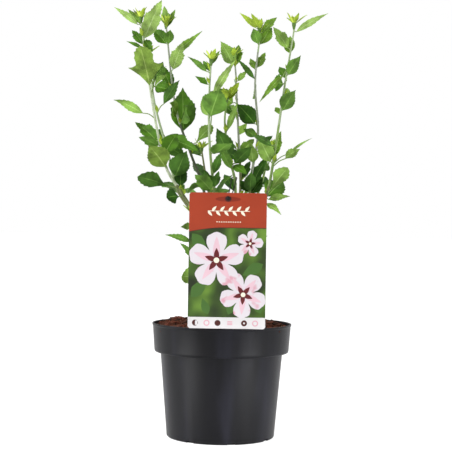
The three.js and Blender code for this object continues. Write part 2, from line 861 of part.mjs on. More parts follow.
function growSideTwig(mass, foot, azimuth, random) {
  const length = SIDE_TWIG.length + SIDE_TWIG.lengthSpread * random();
  const knee = foot.clone().add(heading(azimuth, SIDE_TWIG.rise, length * 0.5));
  const end = knee.clone().add(heading(azimuth, SIDE_TWIG.rise + SIDE_TWIG.bend, length * 0.5));
  const own = [mass.stem];
  const line = [between(foot, knee, 0.3), between(foot, knee, 0.65), knee, between(knee, end, 0.5), end];
  const above = end.clone().addScaledVector(UP, SIDE_TWIG.headroom);
  if (isInSky([...line, above]) || isLowAndWide(line)) return;
  if (!isFree(line, mass, own, CLEAR.ownMass * 0.5)) return;
  const radii = [TWIG.footRadius, TWIG.kneeRadius, TWIG.tipRadius];
  const twig = { points: [foot, knee, end], radii, sides: TWIG.sides };
  mass.twigs.push(twig);
  limbs.push(twig);
  own.push(twig);
  for (let k = 0; k < SIDE_TWIG.leaves; k += 1) {
    const share = (k + 1) / SIDE_TWIG.leaves;
    const start = share < 0.5 ? between(foot, knee, share * 2) : between(knee, end, share * 2 - 1);
    const sideways = azimuth + (k % 2 ? 1 : -1) * SIDE_TWIG.leafTurn * (1.2 - share);
    const reach = SIDE_TWIG.leafLength * (0.8 + 0.4 * random());
    const rise = SIDE_TWIG.leafRise + SIDE_TWIG.leafRiseSpread * random();
    const tip = start.clone().add(heading(sideways, rise, reach));
    const roll = FILL.denseSpread * (2 * random() - 1);
    tryLeaf(mass, layLeaf(start, tip, FILL.width, roll), own);
  }
}

function fillRoll(isDense, random) {
  if (isDense) return FILL.denseSpread * (2 * random() - 1);
  return FILL.edgeRoll + FILL.edgeSpread * (2 * random() - 1);
}

function growFill(mass) {
  const random = randomSource(1000 + 77 * mass.order);
  const line = mass.stem.points;
  const low = line[0].z + (mass.shoot.joint ? 0 : FILL.trunkClearance);
  const high = line[line.length - 1].z;
  let node = 0;
  let height = low + FILL.firstDrop;
  while (height < high - FILL.lastDrop) {
    const share = (height - low) / (high - low);
    const foot = pointAtHeight(line, height);
    const isDense = share < FILL.denseShare;
    let side = 0;
    node += 1;
    for (const turn of FILL.turns) {
      side = turn + (isDense ? FILL.denseWobble : FILL.wobble) * (random() - 0.5);
      const mean = FILL.footLength + (FILL.tipLength - FILL.footLength) * share;
      const length = mean * (0.8 + 0.4 * random());
      const rise = FILL.rise + FILL.riseSpread * (random() - 0.5);
      const roll = fillRoll(isDense, random);
      for (let k = 0; k < FILL.tries; k += 1) {
        const tip = foot.clone().add(heading(side + k * FILL.retryTurn, rise, length));
        if (tryLeaf(mass, layLeaf(foot, tip, FILL.width, roll), [mass.stem])) break;
      }
    }
    if (node % SIDE_TWIG.every === 0 && share < SIDE_TWIG.highestShare) {
      growSideTwig(mass, foot, side + SIDE_TWIG.turn, random);
    }
    height += FILL.internode * (0.8 + 0.4 * random());
  }
  const tip = line[line.length - 1];
  const start = between(line[line.length - 2], tip, 0.7);
  for (let k = 0; k < ROSETTE.leaflets; k += 1) {
    const azimuthOut = ROSETTE.turn * k + ROSETTE.turnSpread * random();
    const end = start.clone().add(heading(azimuthOut, ROSETTE.rise, ROSETTE.length));
    mass.leaflets.push([start, end]);
  }
}

function massSolid(mass) {
  let solid = limbSolid(mass.stem);
  for (const twig of mass.twigs) solid = solid.add(limbSolid(twig));
  for (const leaf of mass.leaves) solid = solid.add(toSolid(leafMesh(leaf)));
  for (const [foot, tip] of mass.leaflets) {
    solid = solid.add(toSolid(leafletMesh(foot, tip, ROSETTE.width)));
  }
  return solid;
}

// Picture card and its tie

function makeCard() {
  const { width, height, corner, thickness, holeWidth, holeHeight, holeDrop } = CARD;
  const outline = new THREE.Shape();
  const x = width / 2;
  outline.moveTo(-x + corner, 0);
  outline.lineTo(x - corner, 0);
  outline.absarc(x - corner, corner, corner, -Math.PI / 2, 0);
  outline.absarc(x - corner, height - corner, corner, 0, Math.PI / 2);
  outline.absarc(-x + corner, height - corner, corner, Math.PI / 2, Math.PI);
  outline.absarc(-x + corner, corner, corner, Math.PI, Math.PI * 1.5);
  const holeX = holeWidth / 2;
  const holeTop = height - holeDrop + holeHeight / 2;
  const hole = new THREE.Path();
  hole.moveTo(-holeX, holeTop - holeHeight);
  hole.lineTo(-holeX, holeTop);
  hole.lineTo(holeX, holeTop);
  hole.lineTo(holeX, holeTop - holeHeight);
  outline.holes.push(hole);
  const card = new THREE.ExtrudeGeometry(outline, {
    depth: thickness,
    bevelEnabled: false,
    curveSegments: CARD.cornerSteps,
  });
  card.rotateX(Math.PI / 2);
  card.translate(CARD.centreX, CARD.y + thickness / 2, cardFoot());
  return card;
}

// The tie's loop: from behind the card's hole, round the middle stem and back
function tieLoop(stemPoint) {
  const holeBack = new THREE.Vector3(CARD.centreX, CARD.y + CARD.thickness, holeLevel());
  const near = holeBack.add(new THREE.Vector3(0, TIE.nearHalf + 1, 0));
  const along = new THREE.Vector3().subVectors(stemPoint, near).normalize();
  const side = new THREE.Vector3().crossVectors(along, UP).normalize();
  const points = [];
  const halfTurn = (centre, half, start) => {
    for (let i = 0; i <= TIE.steps; i += 1) {
      const angle = start + (Math.PI * i) / TIE.steps;
      const point = centre.clone().addScaledVector(along, half * Math.sin(angle));
      points.push(point.addScaledVector(side, half * Math.cos(angle)));
    }
  };
  const strand = (sign, shareAt) => {
    for (let i = 1; i < TIE.steps; i += 1) {
      const share = shareAt(i / TIE.steps);
      const half = TIE.nearHalf + (TIE.farHalf - TIE.nearHalf) * share;
      const point = between(near, stemPoint, share).addScaledVector(side, sign * half);
      point.z -= TIE.sag * Math.sin(Math.PI * share);
      points.push(point);
    }
  };
  halfTurn(near, TIE.nearHalf, Math.PI);
  strand(1, (share) => share);
  halfTurn(stemPoint, TIE.farHalf, 0);
  strand(-1, (share) => 1 - share);
  return points;
}

// A tube along a closed line
function ringTube(points, radius, sides) {
  const vertices = [];
  const faces = [];
  const count = points.length;
  points.forEach((point, i) => {
    const before = points[(i + count - 1) % count];
    const after = points[(i + 1) % count];
    const along = new THREE.Vector3().subVectors(after, before).normalize();
    const across = new THREE.Vector3().crossVectors(UP, along).normalize();
    const upright = new THREE.Vector3().crossVectors(along, across);
    for (let k = 0; k < sides; k += 1) {
      const angle = (2 * Math.PI * k) / sides;
      const spoke = across.clone().multiplyScalar(Math.cos(angle) * radius);
      vertices.push(point.clone().add(spoke.addScaledVector(upright, Math.sin(angle) * radius)));
    }
  });
  for (let i = 0; i < count; i += 1) {
    for (let k = 0; k < sides; k += 1) {
      const a = i * sides + k;
      const b = i * sides + ((k + 1) % sides);
      const nextRing = ((i + 1) % count) * sides;
      const c = nextRing + ((k + 1) % sides);
      const d = nextRing + k;
      faces.push([a, b, c], [a, c, d]);
    }
  }
  return meshData(vertices, faces);
}

function makeTie(loop) {
  const front = CARD.y - CARD.thickness / 2 - GAP;
  const knob = new THREE.SphereGeometry(0.5, 8, 6);
  knob.scale(TIE.knobWidth, TIE.knobDepth, TIE.knobHeight);
  knob.translate(CARD.centreX, front - TIE.knobDepth / 2, holeLevel());
  const neck = new THREE.BoxGeometry(TIE.neckWidth, TIE.neckLength, TIE.neckHeight);
  neck.translate(CARD.centreX, front + TIE.neckLength / 2 - 1, holeLevel());
  const ring = toSolid(ringTube(loop, TIE.radius, TIE.sides));
  return fromSolid(toSolid(knob).add(toSolid(neck)).add(ring));
}

const { trunk, boughs, masses } = growLimbs();
const tiedStem = masses.find((mass) => mass.shoot.name === 'middle').stem;
const loop = tieLoop(pointAtHeight(tiedStem.points, TIE.stemHeight));
limbs.push({ name: 'tie', points: loop });
masses.forEach(growListedLeaves);
masses.forEach(growFill);

const plant = new THREE.Group();
plant.add(asNode('pot', makePot(), COLOUR.pot, 0.35));
plant.add(asNode('soil', makeSoil(), COLOUR.soil, 0.95));
plant.add(asNode('trunk', tube(trunk.points, trunk.radii, trunk.sides), COLOUR.bark, 0.85));
for (const bough of boughs) {
  const carrier = limbs.find((limb) => limb.name === bough.from || limb.name === `bough_${bough.from}`);
  const solid = limbSolid(bough).subtract(limbSolid(fatten(carrier)));
  plant.add(asNode(bough.name, fromSolid(solid), COLOUR.bark, 0.85));
}
for (const mass of masses) {
  let solid = massSolid(mass);
  if (!mass.shoot.joint) solid = solid.subtract(limbSolid(fatten(trunk)));
  plant.add(asNode(mass.name, fromSolid(solid), COLOUR.leaf, 0.55));
}
plant.add(asNode('picture_card', makeCard(), COLOUR.card, 0.4));
plant.add(asNode('card_tie', makeTie(loop), COLOUR.tie, 0.4));

export default plant;
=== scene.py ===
# A young hibiscus shrub in its black nursery pot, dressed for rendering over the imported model.
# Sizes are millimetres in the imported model's frame: X right, Y away from the camera, Z up.
# Angles are degrees, and colours are codes as seen on screen.
import json
import math
from functools import cache
from types import SimpleNamespace as Sizes

import bmesh
import bpy
import numpy as np
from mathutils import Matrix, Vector, noise

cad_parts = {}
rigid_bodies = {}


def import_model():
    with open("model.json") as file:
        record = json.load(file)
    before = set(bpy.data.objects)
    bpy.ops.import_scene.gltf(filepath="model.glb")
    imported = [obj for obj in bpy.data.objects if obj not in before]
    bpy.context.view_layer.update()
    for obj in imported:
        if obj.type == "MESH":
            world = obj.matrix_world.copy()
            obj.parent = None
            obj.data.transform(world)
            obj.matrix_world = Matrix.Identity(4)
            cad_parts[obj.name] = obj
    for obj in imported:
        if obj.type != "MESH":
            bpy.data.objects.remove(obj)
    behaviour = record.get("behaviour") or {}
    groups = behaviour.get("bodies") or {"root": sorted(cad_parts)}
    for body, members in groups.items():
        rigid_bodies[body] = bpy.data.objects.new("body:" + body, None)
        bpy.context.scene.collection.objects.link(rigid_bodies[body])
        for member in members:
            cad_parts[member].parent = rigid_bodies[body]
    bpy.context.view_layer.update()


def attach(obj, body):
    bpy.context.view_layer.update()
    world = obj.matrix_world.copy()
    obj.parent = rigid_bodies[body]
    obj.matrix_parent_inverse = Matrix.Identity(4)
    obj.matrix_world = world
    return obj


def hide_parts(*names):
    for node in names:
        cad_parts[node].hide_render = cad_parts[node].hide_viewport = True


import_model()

MM = 0.001
UP = np.array([0.0, 0.0, 1.0])
WHITE = (1, 1, 1, 1)

# Sizes carried over from the part's source

GAP = 0.3
POT = Sizes(
    height=154.3, rim_radius=95.0, lip_width=1.9, band_foot_height=115.6, band_foot_radius=91.4,
    body_top_radius=83.2, base_radius=73.5, corner_radius=3.0, wall=1.4, floor=2.0, segments=192,
)
# The pot's radii from its foot to its rim, the height where its wall steps out and its floor's inside
BASE, BODY, BAND, RIM = POT.base_radius, POT.body_top_radius, POT.band_foot_radius, POT.rim_radius
STEP, INSIDE = POT.band_foot_height, POT.floor + 1.0
# Its shell from the middle of the underside over the lip and back inside: radius, height and rounding
POT_CORNERS = [
    (0, 1.2, 0), (BASE - 9, 1.2, 0.8), (BASE - 7.5, 0, 0.6), (BASE - 0.2, 0, 2.6),
    (BODY, STEP - 0.3, 1.2), (BAND - 0.6, STEP, 0.9), (BAND + 0.3, STEP + 2.2, 1.0),
    (RIM - 0.9, POT.height - 3.2, 0.8), (RIM, POT.height - 2.4, 0.5), (RIM, POT.height, 0.6),
    (RIM - POT.lip_width, POT.height, 0.6), (BAND - POT.wall, STEP + POT.wall, 1.0),
    (BODY - POT.wall, STEP + POT.wall, 1.0), (BASE - POT.wall, INSIDE, 2.0), (0, INSIDE, 0),
]
DRAIN = Sizes(count=8, width=13.0, height=3.2, depth=9.0, turn=12.0, top_share=0.8)
SOIL_LEVEL = 147.5
SOIL_TOP = SOIL_LEVEL + GAP
CARD = Sizes(width=100.0, height=175.2, thickness=0.6, corner=2.5, centre_x=6.0, y=-94.0, hole_drop=7.0)
CARD_FOOT = POT.height + GAP
HOLE_LEVEL = CARD_FOOT + CARD.height - CARD.hole_drop
TIE = Sizes(
    radius=0.75, steps=12, near_half=1.6, far_half=3.4, sag=4.0, stem_height=352.0,
    knob_width=5.6, knob_depth=2.4, neck_length=4.2, neck_radius=0.9,
)
TRUNK = Sizes(
    foot=(5.0, 2.0), top=(3.0, 3.0), top_height=205.0, foot_radius=8.6, top_radius=6.4,
    flare=4.6, flare_height=7.0, flare_fade=0.45,
)
TRUNK_RISE = TRUNK.top_height - SOIL_TOP
STEPS_PER_SPAN = 2
WAYPOINT_ROOM = 1.5
JOINT_GAP = 0.35
# Heights of the trunk's rings above the soil, in the source's solid and in the finer bark
ROUGH_HEIGHTS = [0, 2, TRUNK.flare_height * 0.6, TRUNK.flare_height]
ROUGH_HEIGHTS += [TRUNK_RISE * 0.35, TRUNK_RISE * 0.63, TRUNK_RISE - 3, TRUNK_RISE]
FINE_HEIGHTS = [TRUNK_RISE * (k / 24) ** 1.4 for k in range(25)]
BOUGH = Sizes(foot_radius=3.4, fork_radius=2.3, tip_radius=1.9)
STEM = Sizes(foot_radius=2.0, tip_radius=1.1)
TWIG = Sizes(foot_radius=1.15, tip_radius=0.7)
LEAF = Sizes(stalk_share=0.15, widest_share=0.4, arch=0.03, fold=0.22)
CLEAR = Sizes(
    other_mass=9.0, own_mass=8.0, own_listed=3.0, own_twig=4.0, own_tuft=2.2,
    limb=5.0, card=4.0, lowest=172.0,
)
FAR_APART = 120.0
PROBES = Sizes(rib=(0.33, 0.67), lobe=(0.35, 0.7), stalk=(0.3, 0.65))
LOW = Sizes(below=316.0, half_width=47.0)

# The gaps of the crown through which the photo shows sky, as x, z and radius in the plane Y = 0.
# They are seen from the photo's camera, and only listed leaves may reach into them.
VIEW = Sizes(x=3.7, z=287.0, distance=1608.0)
SKY = [
    (-53, 567, 22), (-25, 549, 19), (-40, 530, 11), (-92, 521, 10), (-56, 505, 13), (-47, 479, 12),
    (-129, 475, 19), (-114, 458, 11), (-79, 427, 10), (-45, 415, 10), (-114, 397, 9), (-91, 361, 9),
    (-32, 375, 8), (-31, 433, 9), (-9, 429, 8), (-10, 499, 10), (23, 547, 12), (31, 528, 11),
    (28, 473, 11), (54, 578, 9), (80, 562, 10), (69, 523, 15), (55, 498, 13), (51, 482, 9),
    (64, 462, 11), (62, 438, 13), (60, 422, 10), (85, 409, 13), (97, 372, 13), (102, 484, 14),
    (101, 533, 11), (103, 432, 24), (130, 410, 25), (125, 480, 22), (-145, 425, 25), (-150, 505, 30),
    (-83, 451, 8), (-75, 537, 7), (28, 407, 9), (-26, 384, 8), (-84, 469, 8), (-41, 453, 8),
    (99, 557, 6), (-48, 347, 7), (-27, 367, 7), (0, 370, 6), (31, 372, 6), (16, 349, 6), (-98, 433, 6),
    (6, 439, 7), (79, 386, 6), (-77, 349, 5),
]

# The seeded rule for the leaves that aren't listed, and for the twigs between them
FILL = Sizes(
    seed=1000, seed_step=77, first_drop=8.0, last_drop=10.0, trunk_clearance=20.0, internode=17.0,
    turns=(90.0, 270.0), wobble=60.0, edge_roll=80.0, edge_spread=14.0, dense_share=0.35,
    dense_wobble=190.0, dense_spread=40.0, foot_length=46.0, tip_length=34.0, rise=30.0,
    rise_spread=40.0, width=0.6, tries=3, retry_turn=47.0, tone_step=0.618,
)
SIDE_TWIG = Sizes(
    every=3, highest_share=0.6, headroom=16.0, turn=150.0, length=30.0, length_spread=18.0,
    rise=48.0, bend=22.0, leaves=3, leaf_length=30.0, leaf_turn=70.0, leaf_rise=30.0,
    leaf_rise_spread=20.0, turn_fade=1.2,
)
LEVEL = Sizes(height=300.0, span=280.0, spread=0.5)
# The tones from the darkest up, each with the level where it ends
LEVEL_TONES = [("dark", 0.12), ("mid", 0.5), ("light", 0.85), ("pale", 99)]

# The shoots, each from its foot on a limb through its waypoints to its tip.
# joint is the height where the bough ends and the leafy mass begins.
# bark names the stem's looks from below, each with the height up to which it runs.
# Each listed leaf has its height on the stem, tip (x, y, z), width share, roll and tone,
# and the stalk's share of the length where it isn't the usual one.

TOP = 999
SHOOTS = [
    Sizes(
        name="left_front", parent="trunk", foot=176, joint=320, bark=[("olive", 345), ("silver", TOP)],
        path=[
            (-20, -13, 250), (-36, -26, 298), (-56, -31, 330), (-79, -38, 368), (-96, -48, 446),
            (-109, -52, 529), (-113, -53, 560),
        ],
        leaves=[
            (548, -148, -60, 573, 0.22, -65, "pale"), (550, -132, -36, 575, 0.26, 50, "light"),
            (531, -85, -66, 582, 0.41, 45, "pale", 0.06), (523, -126, -36, 547, 0.42, 40, "mid"),
            (534, -96, -66, 514, 0.4, -35, "mid"), (519, -132, -50, 530, 0.21, 70, "mid"),
            (471, -111, -84, 519, 0.8, -15, "khaki", 0.03),
            (428, -148, -50, 452, 0.22, -70, "light", 0.3), (395, -121, -26, 425, 0.38, 55, "mid"),
            (391, -113, -62, 402, 0.38, -60, "mid"), (360, -100, -68, 392, 0.6, -40, "khaki"),
            (347, -50, -44, 386, 0.67, 45, "dark"), (333, -114, -60, 350, 0.39, -60, "dark", 0.3),
            (334, -58, -20, 371, 0.48, -20, "dark"), (326, -75, -60, 323, 0.59, 70, "dark", 0.3),
        ],
    ),
    Sizes(
        name="left", parent="left_front", foot=250, joint=320, bark=[("olive", 345), ("soft", TOP)],
        path=[(-42, -11, 302), (-64, -9, 337), (-77, -5, 386), (-97, 0, 455), (-105, 2, 522)],
        leaves=[
            (480, -85, -16, 508, 0.69, 30, "mid"), (477, -73, -8, 470, 0.69, -65, "mid"),
            (439, -61, -46, 480, 0.22, 35, "dark", 0.3), (408, -35, -14, 388, 0.39, -70, "mid", 0.04),
            (396, -53, 14, 379, 0.51, 50, "dark"),
        ],
    ),
    Sizes(
        name="left_rear", parent="trunk", foot=180, joint=320, bark=[("dark", 430), ("grey", TOP)],
        path=[
            (-18, 15, 250), (-27, 17, 332), (-47, 28, 387), (-70, 40, 454), (-84, 48, 560),
            (-85, 48, 570),
        ],
        leaves=[
            (563, -88, 44, 595, 0.41, -30, "light"), (563, -73, 58, 593, 0.31, -35, "light"),
            (539, -104, 62, 565, 0.5, 50, "mid"), (539, -78, 28, 559, 0.53, -5, "mid"),
            (499, -60, 28, 542, 0.42, 35, "pale"), (518, -34, 52, 562, 0.19, -65, "light"),
            (415, -61, 66, 483, 0.48, 0, "mid", 0.06), (475, -92, 52, 512, 0.46, 45, "mid"),
            (392, -17, 8, 425, 0.37, 50, "light", 0.3), (332, -26, 6, 361, 0.52, -15, "dark"),
        ],
    ),
    Sizes(
        name="front", parent="trunk", foot=195, joint=320, bark=[("green", 400), ("soft", TOP)],
        path=[(-4, -22, 254), (-13, -38, 332), (-20, -54, 400), (-21, -60, 460), (-19, -64, 504)],
        leaves=[
            (486, -50, -70, 508, 0.22, -60, "mid"), (488, -30, -46, 506, 0.37, 25, "mid"),
            (471, -40, -58, 484, 0.42, 65, "mid"), (451, 13, -82, 503, 0.17, 45, "pale"),
            (426, -7, -92, 463, 0.66, 25, "mid"), (428, -30, -58, 457, 0.57, -65, "light"),
            (497, -8, -52, 519, 0.26, -30, "light"), (352, -4, -78, 382, 0.26, 10, "dark"),
            (330, -38, -80, 353, 0.37, -40, "mid"), (335, -27, -54, 361, 0.39, -30, "dark"),
            (335, -7, -66, 359, 0.31, 0, "dark"),
        ],
    ),
    Sizes(
        name="middle", parent="front", foot=236, joint=320, bark=[("green", TOP)],
        path=[(14, -28, 305), (15, -21, 346), (8, -8, 377), (0, 4, 425), (2, 8, 462)],
        leaves=[
            (457, -3, -6, 476, 0.47, -10, "young"), (457, 19, 18, 486, 0.37, -50, "young"),
            (412, 17, -24, 454, 0.2, 15, "light"), (372, -11, -10, 420, 0.48, -75, "dark"),
            (368, 37, -30, 394, 0.48, 45, "dark"), (372, 31, -30, 356, 0.43, -45, "mid"),
            (360, -7, -36, 392, 0.31, -30, "mid"), (331, 0, 10, 358, 0.38, 15, "dark"),
        ],
    ),
    Sizes(
        name="rear", parent="trunk", foot=200, joint=320, bark=[("olive", 390), ("grey", TOP)],
        path=[(17, 22, 264), (23, 35, 340), (20, 50, 404), (17, 60, 456), (14, 66, 508), (10, 67, 528)],
        leaves=[
            (512, -8, 60, 549, 0.51, -60, "light"), (511, 18, 84, 548, 0.45, 0, "light"),
            (491, 30, 48, 506, 0.34, 40, "light"), (414, 31, 54, 433, 0.61, -60, "pale"),
            (443, -6, 84, 462, 0.45, 40, "mid"), (386, 42, 74, 412, 0.39, -30, "light"),
            (380, -2, 72, 396, 0.47, 45, "dark"), (348, 37, 64, 380, 0.31, -15, "dark"),
        ],
    ),
    Sizes(
        name="right_front", parent="trunk", foot=182, joint=316,
        bark=[("olive", 350), ("green", 430), ("soft", TOP)],
        path=[
            (32, -8, 256), (58, -20, 330), (69, -33, 398), (79, -42, 475), (89, -46, 540),
            (90, -46, 556),
        ],
        leaves=[
            (544, 135, -50, 571, 0.19, 65, "pale", 0.08), (520, 62, -60, 550, 0.4, -50, "light"),
            (514, 86, -34, 543, 0.51, 15, "light"), (485, 99, -54, 514, 0.47, 45, "mid"),
            (483, 72, -30, 502, 0.54, 20, "mid"), (494, 45, -66, 450, 0.16, 45, "light"),
            (438, 93, -54, 468, 0.55, 35, "mid"), (436, 68, -24, 448, 0.53, 15, "light"),
            (367, 100, -58, 390, 0.27, 50, "light", 0.48), (371, 117, -38, 406, 0.06, 65, "light", 0.4),
            (376, 76, -26, 416, 0.31, -55, "light"), (369, 45, -42, 405, 0.51, -45, "light"),
            (393, 34, -78, 406, 0.17, -55, "dark"), (328, 85, -42, 366, 0.42, 45, "light", 0.24),
            (323, 89, -34, 328, 0.29, 65, "light"), (321, 77, -44, 303, 0.26, -40, "pale"),
        ],
    ),
    Sizes(
        name="right", parent="right_front", foot=246, joint=320,
        bark=[("olive", 350), ("grey", 530), ("soft", TOP)],
        path=[(34, 0, 300), (37, 8, 353), (46, 16, 415), (41, 20, 484), (46, 22, 545), (46, 22, 560)],
        leaves=[
            (490, 15, 8, 517, 0.21, -60, "dark", 0.05), (504, 55, 32, 530, 0.43, -35, "light"),
            (502, 34, 36, 522, 0.46, 15, "light"), (536, 64, 40, 566, 0.51, -40, "light"),
            (537, 37, 6, 559, 0.56, -20, "mid"), (558, 18, 22, 583, 0.23, -70, "young"),
            (560, 34, 8, 580, 0.32, -30, "young"), (552, 71, 42, 581, 0.31, -40, "light"),
            (424, 16, 26, 457, 0.59, 65, "dark"), (409, 25, 4, 421, 0.5, -55, "mid"),
            (392, 67, 34, 414, 0.35, -45, "dark"), (370, 36, -4, 401, 0.51, 5, "light"),
            (337, 58, 16, 383, 0.34, -45, "dark"), (330, 37, -8, 362, 0.55, -15, "dark"),
            (328, 54, 16, 354, 0.52, -45, "dark"), (332, 22, 8, 350, 0.69, 60, "dark"),
        ],
    ),
    Sizes(
        name="right_rear", parent="rear", foot=262, joint=318, bark=[("green", TOP)],
        path=[(40, 40, 314), (54, 50, 352), (64, 58, 398)], leaves=[],
    ),
    Sizes(
        name="rear_low", parent="left_rear", foot=258, joint=318, bark=[("olive", TOP)],
        path=[(-18, 44, 312), (-26, 60, 356), (-33, 70, 396)],
        leaves=[
            (383, -55, 96, 408, 0.34, 35, "dark"), (355, -47, 106, 378, 0.28, 30, "dark"),
        ],
    ),
    Sizes(
        name="low_left", parent="trunk", foot=161, joint=None, bark=[("green", TOP)],
        path=[(-22, -27, 214), (-36, -48, 264), (-39, -57, 300)],
        leaves=[
            (285, -56, -60, 285, 0.59, -70, "light"), (264, -77, -50, 274, 0.23, -70, "mid"),
            (238, -57, -44, 263, 0.33, -60, "mid"), (215, -55, -34, 218, 0.73, -70, "light", 0.35),
        ],
    ),
    Sizes(
        name="low_right", parent="trunk", foot=164, joint=None, bark=[("green", TOP)],
        path=[(26, -22, 214), (38, -44, 254), (42, -52, 288)], leaves=[],
    ),
    Sizes(
        name="low_rear", parent="trunk", foot=160, joint=None, bark=[("green", TOP)],
        path=[(2, 28, 208), (-10, 56, 256), (-14, 66, 296)], leaves=[],
    ),
    Sizes(
        name="low_right_rear", parent="trunk", foot=168, joint=None, bark=[("green", TOP)],
        path=[(26, 20, 216), (40, 38, 258), (44, 46, 294)], leaves=[],
    ),
]

# Leaf outlines, right half, as rows from base to tip in hundredths.
# Each row has its place along the rib, then its edge's place along the rib and share of the half width.
OUTLINES = {
    "lobed": [
        (0, 0, 3), (3, 5, 28), (7, 12, 58), (12, 20, 80), (17, 29, 92), (21, 33, 86), (27, 43, 100),
        (30, 45, 90), (35, 55, 98), (39, 55, 80), (44, 60, 70), (48, 61, 55), (53, 68, 58),
        (58, 71, 48), (64, 79, 48), (69, 80, 36), (75, 87, 32), (81, 89, 21), (88, 94, 14), (94, 97, 6),
        (100, 100, 1),
    ],
    "star": [
        (0, 0, 4), (5, 9, 20), (10, 20, 46), (15, 30, 74), (20, 42, 100), (26, 43, 78), (32, 47, 62),
        (38, 51, 50), (46, 59, 48), (55, 68, 53), (62, 73, 47), (70, 82, 47), (76, 84, 36),
        (84, 92, 30), (90, 94, 16), (96, 98, 8), (100, 100, 1),
    ],
    "ovate": [
        (0, 0, 3), (3, 5, 30), (8, 12, 64), (14, 21, 88), (21, 31, 98), (25, 33, 93), (32, 42, 100),
        (36, 44, 91), (43, 54, 90), (47, 56, 78), (54, 65, 72), (59, 67, 59), (66, 75, 50),
        (72, 78, 38), (80, 86, 26), (86, 89, 16), (93, 95, 8), (100, 100, 1),
    ],
    "slim": [
        (0, 0, 5), (6, 7, 34), (14, 17, 70), (22, 28, 92), (28, 31, 86), (35, 43, 100), (41, 46, 86),
        (48, 57, 82), (54, 59, 64), (62, 70, 60), (69, 73, 42), (77, 83, 32), (85, 89, 17),
        (92, 94, 10), (100, 100, 1),
    ],
    "wedge": [
        (0, 0, 5), (8, 9, 12), (16, 20, 26), (25, 30, 48), (33, 40, 76), (40, 50, 98), (45, 53, 90),
        (53, 65, 100), (59, 68, 86), (67, 79, 80), (74, 83, 60), (82, 92, 48), (90, 96, 24),
        (100, 100, 2),
    ],
    "leaflet": [
        (0, 0, 10), (15, 17, 55), (32, 40, 100), (45, 50, 80), (60, 66, 62), (80, 83, 30),
        (100, 100, 2),
    ],
}
ACROSS = {
    "full": np.array([-1.0, -0.72, -0.40, -0.045, 0.045, 0.40, 0.72, 1.0]),
    "small": np.array([-1.0, -0.5, 0.0, 0.5, 1.0]),
}
BLADE = Sizes(
    thickness=0.4, fold_spread=(0.5, 1.7), wave=(0.06, 0.2), wave_turns=(0.8, 1.8), twist=22.0,
    bend=0.025, edge_curve=1.2, leaflet_below=24.0, slim_below=0.3, star_above=0.65,
    broad_above=0.46,
    quilt=0.035, # depth of the furrows over the side veins, as a share of the half width
    wedge_stalk=0.24, # stalk share from which a leaf narrows slowly to its foot
)
TUFT = Sizes(
    length=(9.0, 16.0), width=0.42, rise=(48.0, 75.0), turn=(35.0, 80.0), roll=(-30.0, 30.0), lift=0.8,
)
ROSETTE = Sizes(
    leaflets=10, length=(13.0, 20.0), shrink=(1.1, 0.7), width=0.38, rise=(38.0, 80.0),
    turn=137.5, wobble=30.0, foot_drop=1.5, base_drop=0.5,
    outer=4, # leaflets that are greener and stand out further
)
BUD = Sizes(length=11.0, radius=2.8, sunk_share=0.6)
BUD_SHAPE = [(0, 0.5), (0.25, 0.7), (0.5, 0.95), (0.75, 1.0), (0.92, 0.6), (1, 0.05)]
FINE_STEPS = 6
SIDES = Sizes(trunk=24, bough=12, stem=8, twig=6, tie=8, knob=16)
DRESS = Sizes(seed=5000, seed_step=91, twig_steps=5)
PETIOLE = Sizes(
    foot_radius=0.85, tip_radius=0.55, full_size=40.0, smallest=0.6, arch=0.04, sunk_share=0.12,
)
BARK = Sizes(
    trunk_relief=0.16, bough_relief=0.1, collar=0.45, collar_height=5.0, brown_share=0.6,
    noise=[(2.2, 0.045, 0.7), (4.0, 0.35, 0.4)], # fineness round and along the limb, and depth
)
TRUNK_HEAD = [(1.2, 0.8), (2.0, 0.35)] # height over the trunk's top and share of its radius
SOIL_HEAPS = [(-52, 38, 42, 9.0), (58, 46, 34, 6.5), (0, -10, 60, 2.0)] # x, y, width and height
SOIL_NOISE = [(0.022, 3.1, 2.2), (0.11, 7.7, 1.3), (0.4, 1.3, 0.5)] # fineness, level and height
SOIL = Sizes(segments=144, rings=48, clear=POT.wall + GAP + 0.1, lip=0.5)
CHIPS = Sizes(
    seed=77, count=900, length=(3.0, 13.0), length_curve=1.6, width=(0.3, 0.7), height=(0.8, 2.2),
    strand_share=0.2, strand_width=0.1, strand_height=0.5, straw_share=0.5, tilt=50.0, lean=70.0,
    ragged=(0.7, 1.3), edge_room=3.0, lift=0.3,
)
CHIP_SHAPE = [(-0.5, 0.45), (-0.1, 1.0), (0.3, 0.8), (0.5, 0.3)] # place along and width share

# The card's generic design: places and sizes from the card's foot and middle

CARD_BEND = Sizes(bow=1.1, bow_at=50.0, curl=3.2, curl_from=26.0, curl_width=24.0, curl_height=30.0)
CARD_ART = Sizes(
    strip_top=14.6, band_foot=130.4, band_dip=5.6, dip_from=-8.0, dip_width=42.0, dip_curve=1.6,
    edge_line=0.9, inset=0.02, depth=0.04, cells=40,
    leaves=[ # foot, angle, length and width
        (-46, 122, -50, 30, 15), (46, 84, -150, 30, 15), (-46, 40, 50, 30, 16),
        (44, 20, 110, 26, 14), (2, 18, 70, 26, 12), (-24, 18, 110, 22, 11),
    ],
    blossoms=[(-14, 88, 36, 18), (21, 44, 30, 50), (29, 110, 17, 5)], # middle, size and turn
)
PATCH_RINGS = [(0.35, 0), (0.7, 0), (1, CARD_ART.depth)] # share of a patch's size and drop of its ring
# A blossom's petals with the tint and eye on each, their sizes as shares of the blossom's
BLOSSOM = Sizes(petals=5, width=0.54, tint=(0.86, 0.26), eye=(0.44, 0.2), heart=0.1)
BLOSSOM_LIFTS = Sizes(tint=0.12, eye=0.16, heart=0.2)
# A petal's outline, as shares of its length and width
PETAL = Sizes(points=28, wave=0.02, waves=7, half_width=0.62, outward=0.304)
